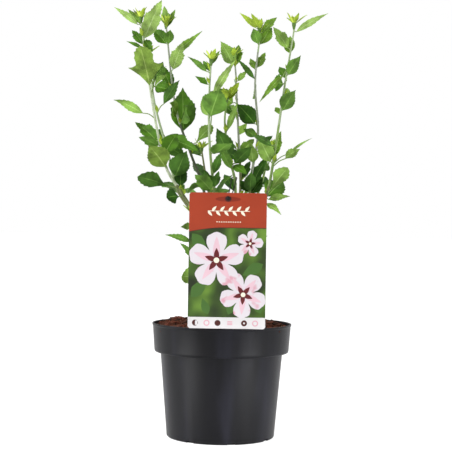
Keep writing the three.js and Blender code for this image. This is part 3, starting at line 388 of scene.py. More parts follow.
# Lifts that keep what overlaps apart: a printed layer over the one under it, and a smaller step
INK = 0.05
STEP_UP = 0.02
# Outline of a leaf of the design: place along it and across it, as shares of its length and width
LEAF_SHAPE = [(0, 0.01), (0.15, 0.3), (0.35, 0.5), (0.6, 0.425), (0.85, 0.2), (1, 0)]
LEAF_SHAPE += [(0.85, -0.2), (0.6, -0.425), (0.35, -0.5), (0.15, -0.3)]
GARLAND = Sizes(
    v=151.5, start=-26.0, end=28.0, stem=0.8, leaves=10, last_room=0.7, length=8.5, width=3.6,
    rise=48.0, raised=0.03,
)
UNDERLINE = Sizes(v=137.5, start=-14.0, end=16.0, dots=11, radius=0.8)
SYMBOLS = [
    (-40.5, "half"), (-25.6, "ring"), (-11.4, "disc"), (4.4, "bars"), (22.8, "eyed"), (37.0, "ring"),
]
SYMBOL = Sizes(
    v=7.2, radius=3.9, hole=2.5, eye=1.25, half=(0.42, 0.8, 1.5),
    bar_length=6.5, bar_height=1.2, bar_step=1.9,
)
TIE_PAINTED_SHADES = [("shade", 16.5, 0.2, 1.3), ("mark", 5.0, 0.72, 1.1)] # painted shade of the card's dimple round the tie's knob, as ovals: look, radius, flatness and drop
KNOB_SHAPE = [(0, 0.62), (0.12, 0.9), (0.4, 1.0), (0.72, 0.86), (0.93, 0.5), (1, 0.1)]

# Colours

LEAF_PARTS = ("top", "under", "rib")
LEAF_TONES = { # each part's colour
    "dark": ("2d5410", "3f6422", "5d8336"), "mid": ("4b751c", "5b8231", "7ba04a"),
    "light": ("6b9030", "799b45", "9cbc6c"), "pale": ("84a648", "8fae5a", "b4cd88"),
    "khaki": ("67852b", "73903a", "98b05c"), "young": ("8aa526", "97b038", "b0c45a"),
    "tip": ("a8bd36", "b0c24a", "c3d070"),
}
STEM_LOOKS = { # the light and the dark of the bark
    "brown": ("6b5a44", "45392c"), "olive": ("6c7245", "4a5030"), "dark": ("4a543c", "323c25"),
    "green": ("78914f", "5f783b"), "soft": ("94a67c", "798e5f"), "grey": ("8c9480", "6d775f"),
    "silver": ("acb69a", "8a9a6c"), "bud": ("4f7026", "39541b"),
}
SOIL_LOOKS = {
    "brown": ("5a3324", "2c1a12"), "dark": ("38241b", "1c120c"), "red": ("743f30", "43261b"),
    "straw": ("8d6b45", "5c472e"),
}
POT_BLACK = "0a0a0d"
# The pot's mottling from dark to light: its lighter streaks are partly a faint bloom and partly painted
# highlights of the side lights
POT_BLOOM_AND_HIGHLIGHT_STREAKS = ("07070a", "0b0b0f", "18181f")
TIE_BLACK = "181313"
# The last two looks: a dark red for print that also paints the shade right round the tie's knob, and a
# red for the painted shadow of the card's dimple round that knob
CARD_LOOKS = {
    "stock": "d4d4d3", "band": "993415", "field": "2f3e17", "strip": "cfcdce", "petal": "d3ccd2",
    "blush": "cf9aa8", "tint": "d8b6c1", "eye": "5c1216", "cream": "e6e0cc", "leaf": "3f6424",
    "mark": "421510", "shade": "7c2208",
}
FIELD_GREENS = ("1a270a", "2b400f", "43621b", "63862c")
# How much darker and lighter the mottling goes than the colour itself
LEAF_SHADES = (0.55, 1, 1.35)
PRINT_SHADES = (0.95, 1, 1.04)
BARK_GAIN = 1.15
SOIL_GAIN = 1.2
# Each finish has its roughness and specular level, then the scale, detail and stretch along Z of its
# mottling, where the first and last colour stand in it, and its relief's height in metres and noise.
LEAF_GRAIN = ((60, 4, 1), (0.35, 0.65), 0.00025, (700, 4, 1))
FINISHES = {
    "top": (0.45, 0.13, *LEAF_GRAIN),
    "under": (0.6, 0.13, *LEAF_GRAIN),
    "rib": (0.5, 0.13, *LEAF_GRAIN),
    "bark": (0.7, 0.5, (260, 5, 0.3), (0.3, 0.7), 0.0004, (1400, 5, 0.4)),
    # The pot's mottling runs in long up-and-down streaks, partly bloom and partly painted highlights of
    # the side lights
    "pot": (0.4, 0.15, (26, 4, 0.15), (0.35, 0.65), 0.00006, (2600, 2, 1)),
    "soil": (0.95, 0.2, (420, 6, 1), (0.3, 0.7), 0.0008, (900, 6, 1)),
    "print": (0.35, 0.4, (30, 2, 1), (0.35, 0.65), 0, None),
    "petal": (0.35, 0.4, (60, 2, 1), (0.3, 0.5), 0, None),
    "field": (0.35, 0.4, (34, 1, 1), (0.32, 0.7), 0, None),
}
TIE_FINISH = (0.5, 0.2) # roughness and specular level
FLOOR_ROUGHNESS = 0.9

# Studio, in metres and watts

FLOOR = Sizes(half=30.0, grey=(0.4, 0.4, 0.4), glow=0.8)
WORLD = Sizes(front=0.35, front_at=-0.9, rear=0.95, rear_at=0.5, top=0.35, seen=1.0)
SOFTBOXES = [ # name, place, aim, size, spread and power
    ("key", (-1.4, -1.9, 1.9), (0, 0, 0.35), (1.2, 1.2), 180, 36),
    ("fill_right", (1.8, -0.75, 0.55), (0, 0, 0.3), (1.3, 1.1), 180, 12),
    ("rim_left", (-1.65, -0.45, 0.55), (0, 0, 0.2), (1.4, 1.1), 180, 12),
    ("low_left", (-0.42, -0.25, 0.04), (0, 0, 0.04), (0.42, 0.07), 34, 0.2),
    ("low_right", (0.38, -0.32, 0.04), (0, 0, 0.04), (0.32, 0.07), 34, 0.17),
]
CAMERA = Sizes(
    place=(0.00366, -1.6084, 0.2869), focal_px=1175.2, frame_px=452, sensor_mm=36.0, roll=0.0151,
    near=0.05, far=100.0,
)


# Small helpers


def linear(code):
    """A colour code turned into Blender's linear colour."""
    channels = [int(code[i : i + 2], 16) / 255 for i in (0, 2, 4)]
    return [c / 12.92 if c <= 0.04045 else ((c + 0.055) / 1.055) ** 2.4 for c in channels]


def shades(code, *factors):
    """Darker and lighter versions of a colour."""
    return [[min(c * factor, 1) for c in linear(code)] for factor in factors]


def random_source(seed):
    """Seeded numbers between 0 and 1, the same as the part's source draws."""
    state = seed

    def draw():
        nonlocal state
        state = (state * 1664525 + 1013904223) % 2**32
        return state / 2**32

    return draw


def within(limits, share):
    return limits[0] + (limits[1] - limits[0]) * share


def spread(size, draw):
    """A random number from minus size to size."""
    return size * (2 * draw() - 1)


def varied(size, draw):
    """A size, made up to a fifth smaller or larger."""
    return size * (0.8 + 0.4 * draw())


def point(x, y, z):
    return np.array([x, y, z], float)


def unit(vector):
    return vector / np.linalg.norm(vector)


def between(a, b, share):
    return a + (b - a) * share


def heading(azimuth, rise, length):
    flat = math.cos(math.radians(rise)) * length
    turn = math.radians(azimuth)
    return point(math.cos(turn) * flat, math.sin(turn) * flat, math.sin(math.radians(rise)) * length)


def side_of(along, roll):
    """The direction across a leaf or flake, turned from the level by its roll."""
    level = np.cross(along, UP)
    level = unit(level) if np.linalg.norm(level) >= 0.05 else point(1, 0, 0)
    turn = math.radians(roll)
    return level * math.cos(turn) + np.cross(level, along) * math.sin(turn)


def slot_of(looks, look):
    return list(looks).index(look)


# Meshes and pieces


class Bunch:
    """Shapes of one kind, gathered to be joined into one piece."""

    def __init__(self):
        self.points, self.faces, self.slots = [], [], []
        self.count = 0

    def add(self, points, faces, slots):
        self.points.append(points)
        self.faces += [[i + self.count for i in face] for face in faces]
        self.slots += np.broadcast_to(slots, len(faces)).tolist()
        self.count += len(points)

    def add_piece(self, name, materials, slot, nodes, sharp):
        mesh = make_mesh(name, np.vstack(self.points), self.faces, materials)
        mesh.polygons.foreach_set("material_index", self.slots)
        add_piece(name, mesh, nodes, sharp)


def make_mesh(name, points, faces, materials=()):
    mesh = bpy.data.meshes.new(name)
    mesh.from_pydata((np.array(points) * MM).tolist(), [], faces)
    for material in materials:
        mesh.materials.append(material)
    return mesh


def link(item):
    bpy.context.scene.collection.objects.link(item)
    return item


def add_piece(name, mesh, nodes, sharp):
    """Adds a mesh as a piece in its nodes' place. Edges sharper than the angle sharp stay hard."""
    mesh.update()
    mesh.shade_smooth()
    mesh.set_sharp_from_angle(angle=math.radians(sharp))
    piece = link(bpy.data.objects.new(name, mesh))
    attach(piece, "root")
    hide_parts(*nodes)


def sheet_faces(rows, columns):
    """Faces of a thin closed sheet, with a part number each: 0 top, 1 underside and rim, 2 rib."""
    under, last = rows * columns, (rows - 1) * columns
    faces, parts = [], []
    for i in range(rows - 1):
        for j in range(columns - 1):
            a, b = i * columns + j, (i + 1) * columns + j
            faces += [(a, a + 1, b + 1, b), (under + a, under + b, under + b + 1, under + a + 1)]
            is_rib = columns == len(ACROSS["full"]) and j == columns // 2 - 1
            parts += [2, 2] if is_rib else [0, 1]
    starts = range(0, last, columns)
    edges = [(a + columns - 1, a + 2 * columns - 1) for a in starts]
    edges += [(a + columns, a) for a in starts]
    edges += [(j, j + 1) for j in range(columns - 1)]
    edges += [(last + j + 1, last + j) for j in range(columns - 1)]
    faces += [(a, under + a, under + b, b) for a, b in edges]
    return faces, np.array(parts + [1] * len(edges))


def revolve(profile, segments):
    """A closed body of revolution. Its profile starts and ends on the axis, and goes up outside.

    A height may be a function of x and y.
    """
    points, faces = [], []
    for r, z in profile:
        for k in range(segments if r > 0 else 1):
            turn = 2 * math.pi * k / segments
            x, y = r * math.cos(turn), r * math.sin(turn)
            points.append((x, y, z(x, y) if callable(z) else z))
    last, rings = len(points) - 1, len(profile) - 2
    top_ring = 1 + (rings - 1) * segments
    for k in range(segments):
        n = (k + 1) % segments
        faces += [(0, 1 + n, 1 + k), (last, top_ring + k, top_ring + n)]
        for i in range(rings - 1):
            a, b = 1 + i * segments + k, 1 + i * segments + n
            faces.append((a, b, b + segments, a + segments))
    return points, faces


def build_tube(bunch, points, radii, sides, slots):
    """A closed tube along a line. Each radius is one number or one for each side.

    slots is one number, or one for each stretch between two points.
    """
    points = np.array(points)
    turns = 2 * np.pi * np.arange(sides) / sides
    rings, side = [], None
    for i, place in enumerate(points):
        along = unit(points[min(i + 1, len(points) - 1)] - points[max(i - 1, 0)])
        if side is None:
            side = np.cross(point(1, 0, 0), along)
            if np.linalg.norm(side) < 0.1:
                side = np.cross(point(0, 1, 0), along)
        side = unit(side - along * np.dot(side, along))
        spokes = np.cos(turns)[:, None] * side + np.sin(turns)[:, None] * np.cross(along, side)
        rings.append(place + spokes * np.reshape(radii[i], (-1, 1)))
    stretches = len(points) - 1
    slots = np.broadcast_to(slots, stretches)
    faces, face_slots = [], []
    for i in range(stretches):
        for k in range(sides):
            a, b = i * sides + k, i * sides + (k + 1) % sides
            faces.append((a, b, b + sides, a + sides))
            face_slots.append(slots[i])
    last = stretches * sides
    foot, tip = last + sides, last + sides + 1
    for k in range(0, sides, 2):
        b, c = (k + 1) % sides, (k + 2) % sides
        faces += [(foot, c, b, k), (tip, last + k, last + b, last + c)]
        face_slots += [slots[0], slots[-1]]
    ends = [rings[0].mean(axis=0), rings[-1].mean(axis=0)]
    bunch.add(np.vstack([*rings, ends]), faces, face_slots)


# Materials


def feed(tree, node, values):
    """Sets a node's sockets, each to a number, a colour or the socket that feeds it."""
    for name, value in values.items():
        if isinstance(value, bpy.types.NodeSocket):
            tree.links.new(value, node.inputs[name])
        else:
            node.inputs[name].default_value = value
    return node


def add_node(tree, kind, values):
    return feed(tree, tree.nodes.new("ShaderNode" + kind), values)


def plain_material(name, colour, roughness, specular=0.5, glow=0.0):
    material = bpy.data.materials.new(name)
    material.use_nodes = True
    tree = material.node_tree
    feed(tree, tree.nodes["Principled BSDF"], {
        "Base Color": (*colour, 1), "Roughness": roughness, "Specular IOR Level": specular,
        "Emission Color": WHITE, "Emission Strength": glow,
    })
    return material


def noise_over(tree, scale, detail, stretch):
    """Noise over the object's own coordinates, one cell about 1/scale metres wide, stretched along Z."""
    place = add_node(tree, "TexCoord", {}).outputs["Object"]
    mapping = add_node(tree, "Mapping", {"Vector": place, "Scale": (1, 1, stretch)})
    texture = {"Vector": mapping.outputs["Vector"], "Scale": scale, "Detail": detail}
    return add_node(tree, "TexNoise", texture).outputs["Fac"]


def finished(name, finish, base, colours):
    """A material mottled through a row of colours, with a fine relief where its finish has one."""
    roughness, specular, grain, span, relief, relief_grain = FINISHES[finish]
    material = plain_material(name, base, roughness, specular)
    tree = material.node_tree
    shader = tree.nodes["Principled BSDF"]
    ramp = add_node(tree, "ValToRGB", {"Fac": noise_over(tree, *grain)})
    stops = ramp.color_ramp.elements
    while len(stops) < len(colours):
        stops.new(0.5)
    for i, colour in enumerate(colours):
        stops[i].position = within(span, i / (len(colours) - 1))
        stops[i].color = (*colour, 1)
    feed(tree, shader, {"Base Color": ramp.outputs["Color"]})
    if relief:
        height = noise_over(tree, *relief_grain)
        bump = add_node(tree, "Bump", {"Height": height, "Distance": relief, "Strength": 1})
        feed(tree, shader, {"Normal": bump.outputs["Normal"]})
    return material


def leaf_material(part, tone, code):
    return finished(f"leaf_{part}_{tone}", part, linear(code), shades(code, *LEAF_SHADES))


def bark_material(look, light, dark):
    colours = [linear(dark), *shades(light, 1, BARK_GAIN)]
    return finished("stem_" + look, "bark", linear(light), colours)


def pot_material():
    """Satin black plastic with a fine moulded grain, mottled in long up-and-down streaks: the lighter
    ones are partly a faint bloom and partly painted highlights of the side lights.
    """
    return finished("pot_black", "pot", linear(POT_BLACK), [linear(code) for code in POT_BLOOM_AND_HIGHLIGHT_STREAKS])


def soil_material(look, light, dark):
    colours = [linear(dark), *shades(light, 1, SOIL_GAIN)]
    return finished("soil_" + look, "soil", linear(light), colours)


def card_material(look, code):
    """Printed plastic, with a soft garden blur on the field and a little tint in the rest."""
    if look == "petal":
        colours = [linear(CARD_LOOKS["blush"]), *shades(code, 1, 1)]
    elif look == "field":
        colours = [linear(green) for green in FIELD_GREENS]
    else:
        colours = shades(code, *PRINT_SHADES)
    return finished("card_" + look, look if look in FINISHES else "print", linear(code), colours)


# Limbs, by the same rule as in the part's source


def smooth_line(waypoints, steps):
    """A uniform Catmull-Rom curve through the waypoints, with mirrored end points."""
    first = 2 * waypoints[0] - waypoints[1]
    last = 2 * waypoints[-1] - waypoints[-2]
    knots = [first, *waypoints, last]
    line = []
    for i in range(len(waypoints) - 1):
        p0, p1, p2, p3 = knots[i : i + 4]
        t0, t1 = (p2 - p0) / 2, (p3 - p1) / 2
        for k in range(steps):
            t = k / steps
            cubic = (2 * p1 - 2 * p2 + t0 + t1) * t**3
            line.append(p1 + t0 * t + (-3 * p1 + 3 * p2 - 2 * t0 - t1) * t**2 + cubic)
    line.append(waypoints[-1])
    return line


def point_at_height(line, height):
    for a, b in zip(line, line[1:]):
        if b[2] >= height:
            return between(a, b, (height - a[2]) / (b[2] - a[2]))
    return line[-1].copy()


def stretch_of(line, low, high):
    inside = [p for p in line if low + WAYPOINT_ROOM < p[2] < high - WAYPOINT_ROOM]
    return [point_at_height(line, low), *inside, point_at_height(line, high)]


def taper(points, foot_radius, tip_radius):
    low, high = points[0][2], points[-1][2]
    return [foot_radius + (tip_radius - foot_radius) * (p[2] - low) / (high - low) for p in points]


def trunk_line(heights):
    """The trunk's points and radii at some heights above the soil."""
    foot = point(*TRUNK.foot, SOIL_TOP)
    top = point(*TRUNK.top, TRUNK.top_height)
    points, radii = [], []
    for h in heights:
        lean = max(h - TRUNK.flare_height, 0) / (TRUNK_RISE - TRUNK.flare_height)
        place = between(foot, top, lean)
        place[2] = SOIL_TOP + h
        plain = TRUNK.foot_radius + (TRUNK.top_radius - TRUNK.foot_radius) * h / TRUNK_RISE
        points.append(place)
        radii.append(plain + TRUNK.flare * math.exp(-h / (TRUNK.flare_height * TRUNK.flare_fade)))
    return points, radii


def grow_limbs():
    """The source's boughs and stems as rough lines, which decide what is free, and as fine ones."""
    points, _ = trunk_line(ROUGH_HEIGHTS)
    limbs.append(Sizes(points=points))
    lines = {"trunk": points}
    boughs, masses = [], []
    for order, shoot in enumerate(SHOOTS):
        foot = point_at_height(lines[shoot.parent], shoot.foot)
        waypoints = [foot, *(point(*p) for p in shoot.path)]
        line = smooth_line(waypoints, STEPS_PER_SPAN)
        fine = smooth_line(waypoints, FINE_STEPS)
        lines[shoot.name] = line
        start = shoot.foot
        if shoot.joint:
            limbs.append(Sizes(points=stretch_of(line, shoot.foot, shoot.joint)))
            start = shoot.joint + JOINT_GAP
            radius = BOUGH.foot_radius if shoot.parent == "trunk" else BOUGH.fork_radius
            points = stretch_of(fine, shoot.foot, start)
            boughs.append(Sizes(name=shoot.name, points=points, foot_radius=radius))
        stem = Sizes(points=stretch_of(line, start, line[-1][2]))
        limbs.append(stem)
        points = stretch_of(fine, start, line[-1][2])
        mass = Sizes(shoot=shoot, order=order, stem=stem, line=points, twigs=[], leaves=[])
        masses.append(mass)
    return boughs, masses


# Which space is taken, by the same rule

limbs = []
taken_leaves = []


def line_distances(places, line):
    """How far each place is from a line of points."""
    starts = np.array(line[:-1])
    spans = np.diff(np.array(line), axis=0)
    offsets = places[:, None, :] - starts
    shares = np.clip(np.sum(offsets * spans, axis=2) / np.sum(spans * spans, axis=1), 0, 1)
    return np.linalg.norm(offsets - shares[..., None] * spans, axis=2).min(axis=1)


def is_at_card(places):
    in_width = np.abs(places[:, 0] - CARD.centre_x) < CARD.width / 2 + CLEAR.card
    in_height = places[:, 2] < CARD_FOOT + CARD.height + CLEAR.card
    return in_width & in_height & (places[:, 1] < CARD.y + CLEAR.card + CARD.thickness)


def is_taken(places, mass, own_room):
    for other in taken_leaves:
        own = other.mass is mass
        room, probes = (own_room, other.blade) if own else (CLEAR.other_mass, other.all)
        if np.abs(places[0] - probes[0]).max() > FAR_APART:
            continue
        gaps = places[:, None, :] - probes
        if np.sum(gaps * gaps, axis=2).min() < room * room:
            return True
    return False


def touches_limb(places, own):
    others = (limb for limb in limbs if not any(limb is o for o in own))
    return any(line_distances(places, limb.points).min() < CLEAR.limb for limb in others)


def is_in_sky(places):
    nearness = VIEW.distance / (VIEW.distance + places[:, 1])
    x = VIEW.x + (places[:, 0] - VIEW.x) * nearness
    z = VIEW.z + (places[:, 2] - VIEW.z) * nearness
    return any(((x - at_x) ** 2 + (z - at_z) ** 2 < radius**2).any() for at_x, at_z, radius in SKY)


def is_low_and_wide(places):
    return any(p[2] < LOW.below and abs(p[0] - CARD.centre_x) > LOW.half_width for p in places)


def is_free(places, mass, own, own_room):
    places = np.array(places)
    if places[:, 2].min() < CLEAR.lowest or is_at_card(places).any():
        return False
    return not touches_limb(places, own) and not is_taken(places, mass, own_room)


# Leaves, by the same rule


def lay_leaf(foot, tip, width, roll, stalk=LEAF.stalk_share):
    """The frame of a leaf from its foot on a stem to its tip."""
    length = np.linalg.norm(tip - foot)
    along = (tip - foot) / length
    side = side_of(along, roll)
    face = np.cross(side, along)
    base = between(foot, tip, stalk)
    middle = between(base, tip, LEAF.widest_share) + UP * LEAF.arch * length
    half = width * length / 2
    return Sizes(
        foot=foot, base=base, middle=middle, tip=tip, side=side, face=face, half=half,
        length=length, width=width, stalk=stalk,
        lobes=[middle + side * sign * half + face * half * LEAF.fold for sign in (1, -1)],
    )


def blade_probes(leaf):
    base, middle, tip = leaf.base, leaf.middle, leaf.tip
    probes = [base, middle, tip, between(base, middle, 0.5)]
    probes += [between(middle, tip, share) for share in PROBES.rib]
    for lobe in leaf.lobes:
        probes += [lobe, between(middle, lobe, 0.5), between(lobe, base, 0.5)]
        probes += [between(lobe, tip, share) for share in PROBES.lobe]
    return probes


def try_leaf(mass, leaf, own, tone, listed=False, room=CLEAR.own_mass):
    """Adds a leaf unless it would leave its mass's own space or touch a limb."""
    blade = blade_probes(leaf)
    stalk = [between(leaf.foot, leaf.base, share) for share in PROBES.stalk]
    if not listed and (is_low_and_wide(blade) or is_in_sky(np.array(blade))):
        return False
    if not is_free(blade, mass, own, room) or not is_free(stalk, mass, own, 0):
        return False
    taken_leaves.append(Sizes(mass=mass, blade=np.array(blade), all=np.array(blade + stalk)))
    leaf.tone = tone
    mass.leaves.append(leaf)
    return True


def grow_listed_leaves(mass):
    for height, x, y, z, width, roll, tone, *stalk in mass.shoot.leaves:
        foot = point_at_height(mass.stem.points, height)
        leaf = lay_leaf(foot, point(x, y, z), width, roll, *stalk)
        try_leaf(mass, leaf, [mass.stem], tone, True, CLEAR.own_listed)


def fill_tone(height, draw):
    """Older leaves low down are darker than the young ones near the tips."""
    level = (height - LEVEL.height) / LEVEL.span + LEVEL.spread * (draw - 0.5)
    return next(tone for tone, end in LEVEL_TONES if level < end)


def fill_roll(dense, draw):
    """Leaves low down lie level, and those higher up stand on edge as seen from the front."""
    if dense:
        return spread(FILL.dense_spread, draw)
    return FILL.edge_roll + spread(FILL.edge_spread, draw)


def grow_side_twig(mass, foot, azimuth, draw):
    length = SIDE_TWIG.length + SIDE_TWIG.length_spread * draw()
    knee = foot + heading(azimuth, SIDE_TWIG.rise, length * 0.5)
    end = knee + heading(azimuth, SIDE_TWIG.rise + SIDE_TWIG.bend, length * 0.5)
    line = [between(foot, knee, share) for share in PROBES.stalk]
    line += [knee, between(knee, end, 0.5), end]
    blocked = is_in_sky(np.array([*line, end + UP * SIDE_TWIG.headroom])) or is_low_and_wide(line)
    if blocked or not is_free(line, mass, [mass.stem], CLEAR.own_twig):
        return
    twig = Sizes(points=[foot, knee, end])
    mass.twigs.append(twig)
    limbs.append(twig)
    for k in range(SIDE_TWIG.leaves):
        share = (k + 1) / SIDE_TWIG.leaves
        start = between(foot, knee, share * 2) if share < 0.5 else between(knee, end, share * 2 - 1)
        sideways = azimuth + (1 if k % 2 else -1) * SIDE_TWIG.leaf_turn * (SIDE_TWIG.turn_fade - share)
        reach = varied(SIDE_TWIG.leaf_length, draw)
        rise = SIDE_TWIG.leaf_rise + SIDE_TWIG.leaf_rise_spread * draw()
        roll = fill_roll(True, draw)
        leaf = lay_leaf(start, start + heading(sideways, rise, reach), FILL.width, roll)
        try_leaf(mass, leaf, [mass.stem, twig], fill_tone(start[2], 0.5))


def grow_fill(mass):
    draw = random_source(FILL.seed + FILL.seed_step * mass.order)
    line = mass.stem.points
    low = line[0][2] + (0 if mass.shoot.joint else FILL.trunk_clearance)
    high = line[-1][2]
    node = 0
    height = low + FILL.first_drop
    while height < high - FILL.last_drop:
        share = (height - low) / (high - low)
        foot = point_at_height(line, height)
        dense = share < FILL.dense_share
        node += 1
        for turn in FILL.turns:
            side = turn + (FILL.dense_wobble if dense else FILL.wobble) * (draw() - 0.5)
            mean = FILL.foot_length + (FILL.tip_length - FILL.foot_length) * share
            length = varied(mean, draw)
            rise = FILL.rise + FILL.rise_spread * (draw() - 0.5)
            roll = fill_roll(dense, draw)
            tone = fill_tone(height, (node * FILL.tone_step) % 1)
            for k in range(FILL.tries):
                tip = foot + heading(side + k * FILL.retry_turn, rise, length)
                if try_leaf(mass, lay_leaf(foot, tip, FILL.width, roll), [mass.stem], tone):
                    break
        if node % SIDE_TWIG.every == 0 and share < SIDE_TWIG.highest_share:
            grow_side_twig(mass, foot, side + SIDE_TWIG.turn, draw)
        height += varied(FILL.internode, draw)


# Finer growth, only in this scene


@cache
def blade_shell(outline):
    """A blade's grid: places along the rib, reach and half width across, then faces and their parts."""
    rows = np.array(OUTLINES[outline]) / 100
    columns = ACROSS["small" if outline == "leaflet" else "full"]
    reach = np.abs(columns)
    along = rows[:, :1] + (rows[:, 1:2] - rows[:, :1]) * reach**BLADE.edge_curve
    return along, reach, rows[:, 2:3] * columns, *sheet_faces(*along.shape)


def outline_of(leaf):
    if leaf.length < BLADE.leaflet_below:
        return "leaflet"
    if leaf.width < BLADE.slim_below:
        return "slim"
    if leaf.tone == "khaki" and leaf.width > BLADE.star_above:
        return "star"
    if leaf.stalk >= BLADE.wedge_stalk:
        return "wedge"
    return "ovate" if leaf.width > BLADE.broad_above else "lobed"


def build_blade(bunch, leaf, draw):
    """One leaf blade with its fold, furrowed side veins, waved edges and a little twist."""
    s, reach, sideways, faces, parts = blade_shell(outline_of(leaf))
    widest = LEAF.widest_share
    at_base = (s - widest) * (s - 1) / widest
    at_middle = s * (s - 1) / (widest * (widest - 1))
    at_tip = s * (s - widest) / (1 - widest)
    weights = np.stack([at_base, at_middle, at_tip], -1)
    rib = weights @ np.array([leaf.base, leaf.middle, leaf.tip])
    turn = math.radians(spread(BLADE.twist, draw)) * (s[..., None] - widest)
    side = np.cos(turn) * leaf.side + np.sin(turn) * leaf.face
    face = np.cos(turn) * leaf.face - np.sin(turn) * leaf.side
    lateral = sideways * leaf.half
    fold = LEAF.fold * within(BLADE.fold_spread, draw())
    furrow = np.where(np.arange(len(s)) % 2 == 0, -1.0, 1.0)[:, None]
    quilt = furrow * BLADE.quilt * leaf.half * np.sin(np.pi * reach)
    wave = within(BLADE.wave, draw()) * leaf.half * reach**2
    turns = within(BLADE.wave_turns, draw())
    phases = np.where(sideways < 0, draw(), draw())
    wave = wave * np.sin(2 * np.pi * (turns * s + phases)) * np.sin(np.pi * s)
    bend = spread(BLADE.bend * leaf.length, draw) * np.sin(2 * np.pi * s)
    lift = fold * np.abs(lateral) + quilt + wave + bend
    top = rib + side * lateral[..., None] + face * lift[..., None]
    under = top - face * BLADE.thickness
    slots = slot_of(LEAF_TONES, leaf.tone) + len(LEAF_TONES) * parts
    bunch.add(np.vstack([top.reshape(-1, 3), under.reshape(-1, 3)]), faces, slots)


def grow_tufts(mass, draw):
    """Small young leaves in the angle between a leaf and its stem."""
    own = [mass.stem, *mass.twigs]
    for leaf in list(mass.leaves):
        out = leaf.tip - leaf.foot
        azimuth = math.degrees(math.atan2(out[1], out[0]))
        for sign in (-1, 1):
            turned = azimuth + sign * within(TUFT.turn, draw())
            rise = within(TUFT.rise, draw())
            length = within(TUFT.length, draw())
            roll = within(TUFT.roll, draw())
            foot = leaf.foot + UP * TUFT.lift
            tuft = lay_leaf(foot, foot + heading(turned, rise, length), TUFT.width, roll)
            try_leaf(mass, tuft, own, "young", room=CLEAR.own_tuft)


def build_rosette(blades, stems, tip, tones, draw):
    """The star of young leaflets round the bud at a tip, with a tone for the outer and inner ones."""
    for k in range(ROSETTE.leaflets):
        share = k / (ROSETTE.leaflets - 1)
        rise = within(ROSETTE.rise, share)
        length = within(ROSETTE.length, draw()) * within(ROSETTE.shrink, share)
        end = tip + heading(ROSETTE.turn * k + ROSETTE.wobble * draw(), rise, length)
        leaf = lay_leaf(tip - UP * ROSETTE.foot_drop, end, ROSETTE.width, 0)
        leaf.base = tip - UP * ROSETTE.base_drop
        leaf.tone = tones[0] if k < ROSETTE.outer else tones[1]
        build_blade(blades, leaf, draw)
    foot = tip - UP * BUD.length * BUD.sunk_share
    points = [foot + UP * BUD.length * share for share, _ in BUD_SHAPE]
    radii = [BUD.radius * swell for _, swell in BUD_SHAPE]
    build_tube(stems, points, radii, SIDES.stem, slot_of(STEM_LOOKS, "bud"))


def build_petiole(stems, mass, leaf):
    """A leaf's stalk, from the stem or twig into the foot of its blade."""
    foot = leaf.foot if mass.twigs else point_at_height(mass.line, leaf.foot[2])
    knee = between(foot, leaf.base, 0.5) + UP * PETIOLE.arch * leaf.length
    into = between(leaf.base, leaf.middle, PETIOLE.sunk_share)
    points = smooth_line([foot, knee, leaf.base, into], 3)
    size = within((PETIOLE.smallest, 1), min(leaf.length / PETIOLE.full_size, 1))
    radii = np.linspace(PETIOLE.foot_radius, PETIOLE.tip_radius, len(points)) * size
    look = "soft" if leaf.tone in ("pale", "young") else "green"
    build_tube(stems, points, radii, SIDES.twig, slot_of(STEM_LOOKS, look))


def dress_mass(mass, leaf_materials, stem_materials):
    """Replaces one leafy solid with its detailed leaves and its stems."""
    draw = random_source(DRESS.seed + DRESS.seed_step * mass.order)
    grow_tufts(mass, draw)
    blades, stems = Bunch(), Bunch()
    line = mass.line
    looks = [next(look for look, top in mass.shoot.bark if p[2] < top) for p in line[1:]]
    slots = [slot_of(STEM_LOOKS, look) for look in looks]
    build_tube(stems, line, taper(line, STEM.foot_radius, STEM.tip_radius), SIDES.stem, slots)
    for twig in mass.twigs:
        points = smooth_line(twig.points, DRESS.twig_steps)
        radii = np.linspace(TWIG.foot_radius, TWIG.tip_radius, len(points))
        build_tube(stems, points, radii, SIDES.twig, slot_of(STEM_LOOKS, "green"))
        build_rosette(blades, stems, points[-1], ("mid", "young"), draw)
    for leaf in mass.leaves:
        build_petiole(stems, mass, leaf)
        build_blade(blades, leaf, draw)
    build_rosette(blades, stems, line[-1], ("young", "tip"), draw)
    name = mass.shoot.name
    blades.add_piece("blades_" + name, leaf_materials, "foliage", ["leaves_" + name], sharp=60)
    stems.add_piece("stems_" + name, stem_materials, "foliage", ["leaves_" + name], sharp=60)


# Trunk and boughs


def bark_ring(radius, relief, height, sides):
    """One ring's radii: long furrows along the limb and small scattered lumps."""
    radii = []
    for k in range(sides):
        turn = 2 * math.pi * k / sides
        swell = 0
        for fine_round, fine_along, depth in BARK.noise:
            place = (math.cos(turn) * fine_round, math.sin(turn) * fine_round, height * fine_along)
            swell += noise.noise(place) * depth
        radii.append(radius * (1 + relief * swell))
    return radii


def build_limb(bunch, points, radii, relief, sides, slots):
    rings = [bark_ring(r, relief, p[2], sides) for r, p in zip(radii, points)]
    build_tube(bunch, points, rings, sides, slots)


